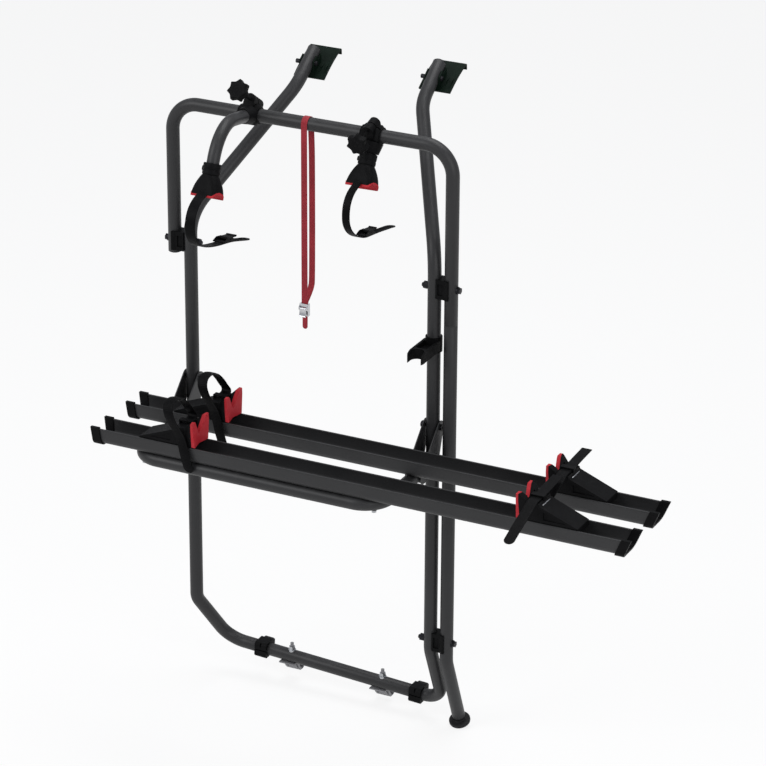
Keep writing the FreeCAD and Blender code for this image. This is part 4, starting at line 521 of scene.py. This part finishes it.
def eased(node, name, width, segments):
    """A copy of a machined solid's skin, merged and with its flat triangles joined, whose edges are rounded
    by width in millimetres."""
    mesh = frame["nodes"][node].data.copy()
    mesh.name = name
    mesh.materials.clear()
    work = bmesh.new()
    work.from_mesh(mesh)
    bmesh.ops.remove_doubles(work, verts=work.verts, dist=0.00002)
    bmesh.ops.dissolve_degenerate(work, edges=work.edges, dist=0.00001)
    bmesh.ops.dissolve_limit(work, angle_limit=math.radians(1.0), verts=work.verts, edges=work.edges)
    work.to_mesh(mesh)
    work.free()
    for attribute in ("custom_normal", "sharp_edge"):
        if attribute in mesh.attributes:
            mesh.attributes.remove(mesh.attributes[attribute])
    thing = finished(name, mesh, node, None, 50.0, turn=False)
    bevel = thing.modifiers.new("eased_edges", "BEVEL")
    bevel.width = width * 0.001
    bevel.segments = segments
    bevel.limit_method = "ANGLE"
    bevel.angle_limit = math.radians(28.0)
    bevel.use_clamp_overlap = True
    bevel.harden_normals = True


# Frame tubes
BAR_SLOPE = -31.0 / 552.3
BAR_LEFT_X = -253.0
BAR_LEFT_Z = -649.0
BAR_Y = 70.0
LEFT_JOINT_X = -162.0
RIGHT_JOINT_X = 236.0
LEG_JOINT_Z = 277.0


def on_bar(x):
    """The bottom bar falls evenly from its left corner."""
    return (x, BAR_Y, BAR_LEFT_Z + BAR_SLOPE * (x - BAR_LEFT_X))


TUBE_ROUTES = {
    "inner_left_tube": ([(-HOOK_X, 318.0, 732.6), (-HOOK_X, 231.3, 673.6), (-INNER_X, 0, 422.5),
                         (-INNER_X, 0, -523.0), on_bar(BAR_LEFT_X), on_bar(LEFT_JOINT_X)],
                        [110.0, 110.0, 42.0, 60.0]),
    "inner_right_tube": ([(HOOK_X, 318.0, 746.7), (HOOK_X, 231.3, 680.4), (INNER_X, 0, 422.5),
                          (INNER_X, 0, -517.0), on_bar(INNER_X), on_bar(RIGHT_JOINT_X)],
                         [110.0, 110.0, 60.0, 45.0]),
    "bottom_bar": ([on_bar(LEFT_JOINT_X), on_bar(RIGHT_JOINT_X)], []),
    "outer_hoop": ([(-OUTER_X, 0, 329.0), (-OUTER_X, 0, TOP_BAR_Z), (OUTER_X, 0, TOP_BAR_Z),
                    (OUTER_X, 0, LEG_JOINT_Z)], [65.0, 65.0]),
    "outer_right_leg": ([(OUTER_X, 0, LEG_JOINT_Z), (OUTER_X, 0, -540.0), FOOT], [60.0]),
    "platform_tube": ([(-INNER_X, PLATFORM_Y[0], PLATFORM_Z), (-INNER_X, PLATFORM_Y[1], PLATFORM_Z),
                       (INNER_X, PLATFORM_Y[1], PLATFORM_Z), (INNER_X, PLATFORM_Y[0], PLATFORM_Z)],
                      [60.0, 60.0]),
}
for node, (corners, radii) in TUBE_ROUTES.items():
    path = rounded_path(corners, radii)
    shell(node + "_skin", [tube_patch(path, TUBE_R - SKIN)], node, sharp=50.0)


# Bike arms
def jaw_frame(x, y, drop, tilt, yaw):
    """Origin at the middle of the mouth, and the axes along the bike's tube, across it and up the neck. The
    jaw is turned by yaw about its neck, and the neck leans by tilt."""
    a, w = math.radians(tilt), math.radians(yaw)
    origin = np.array([x, y, TOP_BAR_Z - drop])
    level = np.array([1.0, 0, 0])
    back = np.array([0, math.cos(a), -math.sin(a)])
    return (origin, level * math.cos(w) + back * math.sin(w), back * math.cos(w) - level * math.sin(w),
            np.array([0, math.sin(a), math.cos(a)]))


def placed(local, spot):
    origin, ex, ey, ez = spot
    local = np.asarray(local, float)
    return origin + local[..., 0:1] * ex + local[..., 1:2] * ey + local[..., 2:3] * ez


JAWS = {"a": jaw_frame(JAW_X["a"], -240.0, 110.0, 23.0, -14.0),
        "b": jaw_frame(JAW_X["b"], -58.0, 101.0, 28.0, -12.0)}
ARM_ROOT_X = -141.0
ARM_ROOT_REACH = 19.0
ARM_ROOT_ANGLE = math.radians(168.0)
ARM_CORNER_UP = 158.0
ARM_END_UP = 34.0
ROUND = 96

root = np.array([ARM_ROOT_X, ARM_ROOT_REACH * math.cos(ARM_ROOT_ANGLE),
                 TOP_BAR_Z + ARM_ROOT_REACH * math.sin(ARM_ROOT_ANGLE)])
arm_corner, arm_end = (placed([0, 0, up], JAWS["a"]) for up in (ARM_CORNER_UP, ARM_END_UP))
arm_path = rounded_path([root, arm_corner, arm_end], [ARM_BEND_R])
shell("arm_tube_a_skin", [tube_patch(arm_path, ARM_TUBE_R - SKIN, 1.5)], "arm_tube_a", sharp=50.0)


def bell_outline(z):
    """Half width 33.8 and half depth 20.8 close to 17.6 and 17 over the bell's height with round shoulders;
    the section is a superellipse whose power falls from 6.5 at the mouth to 2 under the collar."""
    t = np.clip(z / BELL_HIGH, 0, 1)
    a = 17.6 + 16.2 * (1 - t ** 2.2)
    b = 17.0 + 3.8 * (1 - t ** 2)
    n = 6.5 - 4.5 * t ** 0.7
    x, y = superellipse(np.linspace(0, 2 * math.pi, ROUND, endpoint=False), 2 / n, 2 / n)
    return a * x, b * y


def arch(y, r):
    """Height of the bike tube's channel at y: a circle of radius r, its centre 9 mm outside the mouth."""
    return np.sqrt(np.clip(r * r - y * y, 0, None)) - 9.0


def bell_floor(y):
    """The underside of the bell: the channel, and flat beside it."""
    return np.maximum(MOUTH_LOW, arch(y, CHANNEL_R))


def jaw_shell(key):
    """The underside is the channel itself. The bell follows its outline from there up to the neck, and a
    collar with a rolled edge comes after."""
    x0, y0 = bell_outline(MOUTH_LOW)
    rings = []
    for rho in np.linspace(0.04, 0.97, 16):
        rings.append(np.stack([x0 * rho, y0 * rho, bell_floor(y0 * rho)], axis=-1))
    low = bell_floor(y0)
    for t in np.linspace(0, 1, 22) ** 1.2:
        z = low + t * (BELL_HIGH - 0.8 - low)
        xs, ys = bell_outline(z)
        rings.append(np.stack([xs, ys, z], axis=-1))
    w = np.linspace(0, 2 * math.pi, ROUND, endpoint=False)
    for r, z in ((18.4, 49.6), (19.2, 50.3), (19.5, 51.4), (19.5, 56.8), (19.3, 57.3), (18.8, 57.6),
                 (18.8, 61.2), (19.3, 61.5), (19.5, 62.0), (19.5, 71.8), (19.2, 73.0), (18.4, 73.8),
                 (17.6, COLLAR_HIGH), (14.8, COLLAR_HIGH), (14.05, COLLAR_HIGH - 0.7), (14.05, 36.0)):
        rings.append(np.stack([r * np.cos(w), r * np.sin(w), np.full(ROUND, z)], axis=-1))
    return placed(np.array(rings).reshape(-1, 3), JAWS[key]), rings_to_faces(len(rings), ROUND)


def jaw_lining(key):
    """Rubber under the bell: its rim follows the mouth, and its channel has a bike tube's radius, with low
    cushion ribs along the tube every 5 mm."""
    x0, y0 = bell_outline(0.5)
    rings = []
    for rho in np.linspace(0.04, 0.955, 40):
        y = y0 * rho
        channel = arch(y, BIKE_TUBE_R)
        ribs = 0.55 * np.cos(2 * math.pi * y / 5.0) * (np.abs(y) < 19) * (channel > 1)
        rings.append(np.stack([x0 * rho, y, np.maximum(0.0, channel) + ribs + 0.3], axis=-1))
    low = np.maximum(0.0, arch(y0, BIKE_TUBE_R)) + 0.15
    high = bell_floor(y0) + 0.4
    for t, grow in ((0.0, 0.975), (0.12, 0.995), (0.3, 1.0), (0.9, 1.0)):
        rings.append(np.stack([x0 * grow, y0 * grow, low + t * (high - low)], axis=-1))
    for rho in np.linspace(0.95, 0.03, 12):
        rings.append(np.stack([x0 * rho, y0 * rho, bell_floor(y0 * rho) + 0.3], axis=-1))
    return placed(np.array(rings).reshape(-1, 3), JAWS[key]), rings_to_faces(len(rings), ROUND)


def strap_boss(key):
    """The block on the side of the collar where the strap is pinned: a rounded section across it."""
    x, z = superellipse(np.linspace(0, 2 * math.pi, 40, endpoint=False), 0.6, 0.5)
    y = np.array([-4.45, -4.2, -3.4, 3.4, 4.2, 4.45])
    inset = np.array([0.86, 0.96, 1.0, 1.0, 0.96, 0.86])[:, None]
    across = np.broadcast_to(y[:, None], (6, 40))
    grid = np.stack([-21.4 + 3.5 * x * inset, across, 61.5 + 5.3 * z * inset], axis=-1)
    return placed(grid.reshape(-1, 3), JAWS[key]), rings_to_faces(6, 40)


for key in "ab":
    shell("jaw_%s_bell" % key, [jaw_shell(key), strap_boss(key)], "jaw_" + key, sharp=48.0)
    shell("jaw_%s_lining" % key, [jaw_lining(key)], "jaw_liner_" + key, sharp=60.0)

ARM_LINES = {
    "a": [(-246.0, -88.0), (-262.0, -96.0), (-283.0, -104.0), (-300.0, -116.0), (-311.0, -134.0),
          (-314.0, -156.0), (-309.0, -177.0), (-294.0, -196.0), (-272.0, -208.0), (-246.0, -217.0),
          (-215.0, -225.0), (-184.0, -231.0), (-150.0, -238.0), (-118.0, -247.0), (-88.0, -256.0),
          (-62.0, -263.0)],
    "b": [(-62.0, -77.0), (-72.0, -82.0), (-85.0, -87.0), (-103.0, -94.0), (-117.0, -104.0),
          (-127.0, -119.0), (-131.0, -138.0), (-129.0, -158.0), (-118.0, -177.0), (-100.0, -193.0),
          (-78.0, -205.0), (-52.0, -214.0), (-20.0, -219.0), (14.0, -224.0), (48.0, -230.0), (76.0, -235.0),
          (100.0, -241.0)],
}
for key, width in (("a", 24.0), ("b", 18.0)):
    line = [(y, TOP_BAR_Z + z) for y, z in ARM_LINES[key]]
    patch, _ = strap_patch(line, JAW_X[key], width, 2.4, 20.0, 0.7, 0.9, (0.62, 0.965), 0.25, -1.0)
    shell("arm_strap_%s_band" % key, [patch], "arm_strap_" + key, sharp=62.0)


def star_grip(spot, direction, screw):
    """Radius 25 mm times 1.02 - 0.22 |sin 3.5a|, a little rounded, which leaves seven lobes between hollow
    scallops. The edge rolls over 2.5 mm, the face is dished and ringed, and neck and screw stand below."""
    def lobes(a):
        return 1.02 - 0.22 * np.sqrt(np.sin(3.5 * a) ** 2 + 0.01)
    body = [(0.6, 0.2), (9.8, 0.2), (11.0, 0.6), (21.5, 0.2), (24.0, 0.8), (24.8, 2.4), (25.0, 5.0),
            (25.0, 12.5), (24.6, 14.6), (23.2, 16.2), (21.0, 16.9), (15.5, 17.0), (13.8, 16.6), (0.5, 15.0)]
    hub = [(0.5, 14.0), (13.6, 14.0), (13.6, 16.6), (12.6, 16.9), (10.8, 16.9), (9.6, 16.2), (9.0, 15.7),
           (4.5, 15.6), (3.9, 16.1), (0.5, 16.2)]
    neck = [(0.5, -8.9), (8.8, -8.9), (9.7, -8.3), (10.0, -7.2), (10.0, -1.6), (10.8, -0.2), (12.5, 0.3),
            (0.5, 0.4)]
    return [turned(body, spot, direction, 140, lobes), turned(hub, spot, direction, 64),
            turned(neck, spot, direction, 56),
            thread_patch(spot - direction * screw, spot - direction * 6.0, 3.2, 1.25, 0.5, 24)]


for key, angle, reach, offset in (("a", 146.0, 74.0, -27.5), ("b", 196.0, 60.0, -20.8)):
    k = math.radians(angle)
    out = np.array([0, math.cos(k), math.sin(k)])
    side = np.array([0, -math.sin(k), math.cos(k)])
    centre = np.array([CLAMP_X[key], 0, TOP_BAR_Z]) + side * offset + out * reach
    screw = reach + 2.0 - 0.84 * offset
    shell("knob_%s_grip" % key, star_grip(centre, out, screw), "knob_" + key, sharp=42.0)

for key in "ab":
    eased("clamp_" + key, "clamp_%s_body" % key, 1.6, 3)
    eased("bush_" + key, "bush_%s_sleeve" % key, 0.5, 2)
    eased("buckle_" + key, "buckle_%s_frame" % key, 0.45, 2)
    eased("lever_" + key, "lever_%s_tongue" % key, 0.4, 2)


# Security strap
over = TUBE_R + 1.05
turns = [math.pi * k / 12.0 for k in range(13)]
arc = [(over * math.cos(a), TOP_BAR_Z + over * math.sin(a)) for a in turns]
front = [(-over, 620.0), (-over, 560.0), (-over, 420.0), (-over, BUCKLE_Z + 22.0), (-over, BUCKLE_Z - 12.0)]
back = [(over + 3.6, 620.0), (over + 4.6, 560.0), (over + 4.6, 420.0), (over + 3.0, 318.0),
        (over - 1.0, 298.0), (over - 10.0, BUCKLE_Z + 34.0), (over - 20.0, BUCKLE_Z + 25.0),
        (-over + 3.2, BUCKLE_Z + 16.0), (-over + 2.6, BUCKLE_Z - 12.0)]
end = [(-over + 2.3, BUCKLE_Z - 8.0), (-over + 1.9, BUCKLE_Z - 30.0), (-over + 1.7, BUCKLE_Z - 45.0)]
loop, loop_uv = strap_patch(back[::-1] + arc + front, WEB_X, WEB_WIDTH, WEB_THICK, 1.0, 2.0)
tail, tail_uv = strap_patch(end, WEB_X, WEB_WIDTH - 2.2, WEB_THICK, 7.0, 0.8)
shell("security_webbing", [loop, tail], "security_strap", uv=np.concatenate([loop_uv, tail_uv]), sharp=70.0)
eased("cam_buckle", "cam_buckle_frame", 0.35, 2)
eased("cam_lever", "cam_buckle_thumb", 0.5, 3)


# Platform rails
def rail_section():
    """A folded sheet with leaning walls, round bends, rolled lips and two floor grooves, mirrored in y."""
    middle = RAIL_HALF - RAIL_LEAN - RAIL_BEND

    def corner(r, first, last):
        a = np.radians(np.linspace(first, last, 10))
        return np.stack([middle + r * np.cos(a), -RAIL_DEPTH + RAIL_BEND + r * np.sin(a)], axis=1).tolist()

    h = RAIL_HALF
    floor = -RAIL_DEPTH + RAIL_SHEET
    lip = [(h - 0.6, -3.0), (h + 0.55, -2.2), (h + 0.6, -0.8), (h + 0.2, -0.15), (h - 0.6, 0.0),
           (h - 1.8, 0.0), (h - 2.6, -0.15), (h - 3.0, -0.8), (h - 2.95, -2.2), (h - RAIL_SHEET, -3.0)]
    groove = [(10.6, floor), (10.4, floor - 0.6), (7.6, floor - 0.6), (7.4, floor)]
    half = (corner(RAIL_BEND, RAIL_LEAN_ANGLE, -90)[::-1] + lip
            + corner(RAIL_BEND - RAIL_SHEET, -90, RAIL_LEAN_ANGLE)[::-1] + groove)
    return np.array(half + [(-y, z) for y, z in half[::-1]])


def rail_patch(yc):
    """The section carried along X. X shifts with the height near each end, which slants the cuts."""
    section = rail_section()
    plain = np.linspace(RAIL_SLANT_RUN, RAIL_LEN - RAIL_SLANT_RUN, 24)
    stations = [0.0, 0.6] + list(plain) + [RAIL_LEN - 0.6, RAIL_LEN]
    rings = []
    for s in stations:
        left = RAIL_SLANT_LEFT * max(0.0, 1 - s / RAIL_SLANT_RUN)
        right = RAIL_SLANT_RIGHT * max(0.0, 1 - (RAIL_LEN - s) / RAIL_SLANT_RUN)
        grow = 1 - (0.25 if s in (0.0, RAIL_LEN) else 0.0) / 40.0
        x = RAIL_LEFT_X + s - (left - right) / RAIL_DEPTH * section[:, 1]
        rings.append(np.stack([x, yc + section[:, 0] * grow, section[:, 1]], axis=1))
    return np.array(rings).reshape(-1, 3), rings_to_faces(len(stations), len(section))


for key, yc in RAILS_Y.items():
    shell("rail_%s_channel" % key, [rail_patch(yc)], "rail_" + key, sharp=40.0)

# Wheel holders
PIN = [(0.3, -18.4), (1.0, -18.4), (1.2, -18.1), (1.2, 18.1), (1.0, 18.4), (0.3, 18.4)]
LEFT_STRAP = [(0.0, STRAP_SEAT_Z), (18.0, STRAP_SEAT_Z), (26.0, STRAP_SEAT_Z + 1.5),
              (29.5, STRAP_SEAT_Z + 7.0), (27.0, STRAP_SEAT_Z + 13.0), (21.6, 67.0), (13.8, 80.5),
              (3.8, 93.0), (-8.2, 102.5), (-26.0, 108.0), (-43.7, 107.5), (-54.0, 102.5), (-60.5, 92.5),
              (-60.5, 80.0), (-56.6, 65.3), (-50.0, 51.7), (-43.5, 38.0), (-39.0, 24.0), (-37.5, 5.0),
              (-38.5, -21.0), (-37.0, -46.0), (-36.0, -56.0)]
RIGHT_STRAP_FALL = {"back": 105.0 / 155.0, "front": 1.0}


def right_strap(fall):
    """A strap laid flat over its holder. Its free end goes out and down by a share of the longest one."""
    z = STRAP_SEAT_Z
    return [(100.0, z + 5.0), (60.0, z + 3.0), (30.0, z + 1.0), (10.0, z), (-10.0, z), (-33.0, z),
            (-33.0 - 27.0 * fall, z - 1.0 - 9.0 * fall), (-33.0 - 72.0 * fall, z - 1.0 - 24.0 * fall),
            (-33.0 - 122.0 * fall, z - 1.0 - 42.0 * fall)]


def wheel_holder(key, yc, x_mouth, way, neck, line, ribbed, rib_side, lean):
    """Body, lining, two pins and strap. The holder goes from its mouth along X by way, left or right."""
    eased("holder_" + key, "holder_%s_body" % key, 1.5, 3)
    eased("liner_" + key, "holder_%s_lining" % key, 1.1, 3)
    pins = [turned(PIN, (x_mouth + way * along, yc, HOLDER_PIN_Z), (0.0, 1.0, 0.0), 20)
            for along in (neck - 3.7, neck + 30.8)]
    shell("holder_%s_pins" % key, pins, "holder_" + key, "zinc_steel", replaces=False)
    line = [(yc + y, z) for y, z in line]
    band, _ = strap_patch(line, x_mouth + way * (neck + 13.0), 23.8, 2.3, 12.0, 0.8, 0.7, ribbed, 0.2,
                          rib_side, lean, STRAP_SEAT_Z)
    shell("strap_%s_band" % key, [band], "strap_" + key, sharp=62.0)


for place, yc in RAILS_Y.items():
    wheel_holder(place + "_left", yc, HOLDER_LEFT_X, -1, 21.5, LEFT_STRAP, (0.30, 0.97), 1.0, 0.25)
for place, yc in RAILS_Y.items():
    line = right_strap(RIGHT_STRAP_FALL[place])
    wheel_holder(place + "_right", yc, HOLDER_RIGHT_X, 1, 22.5, line, (0.60, 0.955), -1.0, 0.0)

# Fasteners, brackets and rubber parts keep their machined shape, with rounded edges
for node, width, steps in (
        ("couplings", 1.2, 3), ("coupling_bolts", 0.5, 2), ("coupling_nuts", 0.8, 3), ("pad_clamps", 0.9, 3),
        ("door_pads", 0.9, 3), ("hook_nuts", 0.5, 2), ("top_hooks", 0.8, 3), ("hook_bolts", 0.5, 2),
        ("snap_clip", 0.8, 3), ("pivot_bolts", 0.7, 2), ("pivot_ears", 0.5, 2), ("rail_caps", 0.7, 3),
        ("rail_bolts", 0.5, 2), ("tube_plugs", 0.6, 2), ("low_hook_left", 0.6, 3), ("low_hook_right", 0.6, 3),
        ("joint_spigots", 0.4, 1)):
    eased(node, node + "_eased", width, steps)
bpy.data.objects["top_hooks_eased"].data.materials[0] = moulded("green_black_plastic", "#0b1610")

# Foot
lean = unit((4.75, 60.0, -164.0))
foot = np.array(FOOT)
nut = [(5.1, 2.6), (6.3, 2.6), (7.5, 3.2), (7.5, 6.0), (6.3, 6.6), (5.1, 6.6)]
stud = thread_patch(foot - lean * 13.9, foot + lean * 13.4, 4.98, 1.5, 0.6, 32)
shell("foot_stud_thread", [stud, turned(nut, foot, lean, 6)], "foot_stud", sharp=30.0)
sole = [(0.6, 20.2), (15.0, 20.2), (15.6, 19.3), (17.6, 19.3), (18.2, 20.2), (20.8, 20.3), (22.4, 19.9),
        (23.8, 18.6), (24.4, 16.8), (24.5, 14.0), (24.4, 12.4), (23.9, 11.2), (22.6, 10.5), (20.6, 10.4),
        (14.5, 10.5), (13.2, 10.2), (12.2, 9.2), (10.6, 7.6), (9.6, 7.0), (6.2, 6.9), (5.3, 7.1), (5.2, 10.0),
        (0.6, 10.0)]
tread = turned(sole, foot, lean, 72, lambda a: 1 + 0.004 * np.cos(36 * a))
shell("foot_pad_sole", [tread], "foot_pad", sharp=38.0)

# Floor
view_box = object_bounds()
low = min(view_box[0][2], cad_box[0][2]) - 0.0006
bpy.ops.mesh.primitive_plane_add(size=60.0, location=(0, 0, low))
floor = bpy.context.object
floor.name = "studio_floor"
paper = Finish("pale_floor")
paper.set(Base_Color=(0.86, 0.86, 0.86), Roughness=0.9)
rays = paper.tree.nodes.new("ShaderNodeLightPath")
seen = Wire(paper, rays.outputs["Is Camera Ray"]) + Wire(paper, rays.outputs["Is Glossy Ray"])
white = paper.node("ShaderNodeEmission", None, {"Color": (1.0, 1.0, 1.0), "Strength": 1.0})
matt = Wire(paper, paper.shader.outputs[0])
mixed = paper.node("ShaderNodeMixShader", None, {0: seen * 0.82, 1: matt, 2: white})
paper.tree.links.new(mixed.socket, paper.tree.nodes["Material Output"].inputs["Surface"])
floor.data.materials.append(paper.material)

# Light
world = bpy.data.worlds.new("studio")
bpy.context.scene.world = world
world.use_nodes = True
tree = world.node_tree
ground = tree.nodes["Background"]
ground.inputs["Color"].default_value = (0.93, 0.95, 1.0, 1.0)
ground.inputs["Strength"].default_value = 0.55
bright = tree.nodes.new("ShaderNodeBackground")
bright.inputs["Color"].default_value = (1, 1, 1, 1)
bright.inputs["Strength"].default_value = 1.0
rays = tree.nodes.new("ShaderNodeLightPath")
either = tree.nodes.new("ShaderNodeMath")
either.operation = "MAXIMUM"
mixer = tree.nodes.new("ShaderNodeMixShader")
tree.links.new(rays.outputs["Is Camera Ray"], either.inputs[0])
tree.links.new(rays.outputs["Is Transmission Ray"], either.inputs[1])
tree.links.new(either.outputs[0], mixer.inputs[0])
tree.links.new(ground.outputs[0], mixer.inputs[1])
tree.links.new(bright.outputs[0], mixer.inputs[2])
tree.links.new(mixer.outputs[0], tree.nodes["World Output"].inputs["Surface"])


def lamp(name, spot, target, size, power):
    data = bpy.data.lights.new(name, "AREA")
    data.shape = "RECTANGLE"
    data.size, data.size_y = size
    data.energy = power
    made = bpy.data.objects.new(name, data)
    made.location = spot
    made.rotation_euler = (Vector(target) - Vector(spot)).to_track_quat("-Z", "Y").to_euler()
    bpy.context.scene.collection.objects.link(made)


middle = (0.05, -0.45, -0.7)
lamp("key_lamp", (-2.4, -3.4, 2.2), middle, (2.6, 2.0), 88.0)
lamp("fill_lamp", (3.4, -2.6, 0.9), middle, (2.4, 2.4), 48.0)
lamp("top_lamp", (0.4, 0.6, 3.2), middle, (3.0, 2.0), 78.0)

# Camera, at the photograph's angle, with its sensor across the photograph's width
PHOTO_PX = 766.0
FOCAL_PX = 3577.28
SENSOR = 36.0
DISTANCE = 7940.39
ASIDE = 159.34
UPWARD = 67.93

az, el, roll = (math.radians(a) for a in (26.23, 23.38, 0.32))
behind = np.array([math.sin(az) * math.cos(el), -math.cos(az) * math.cos(el), math.sin(el)])
level = np.array([math.cos(az), math.sin(az), 0.0])
upward = np.cross(behind, level)
right = level * math.cos(roll) + upward * math.sin(roll)
top = upward * math.cos(roll) - level * math.sin(roll)
spot = metres(behind * DISTANCE + right * ASIDE + top * UPWARD)
camera_data = bpy.data.cameras.new("photo_camera")
camera_data.sensor_width = SENSOR
camera_data.sensor_fit = "HORIZONTAL"
camera_data.lens = FOCAL_PX / PHOTO_PX * SENSOR
camera_data.clip_end = 200.0
camera = bpy.data.objects.new("photo_camera", camera_data)
turn = Matrix(np.stack([right, top, behind], axis=1).tolist()).to_4x4()
camera.matrix_world = Matrix.Translation(Vector(spot.tolist())) @ turn
bpy.context.scene.collection.objects.link(camera)
bpy.context.scene.camera = camera
bpy.context.scene.view_settings.view_transform = "Standard"
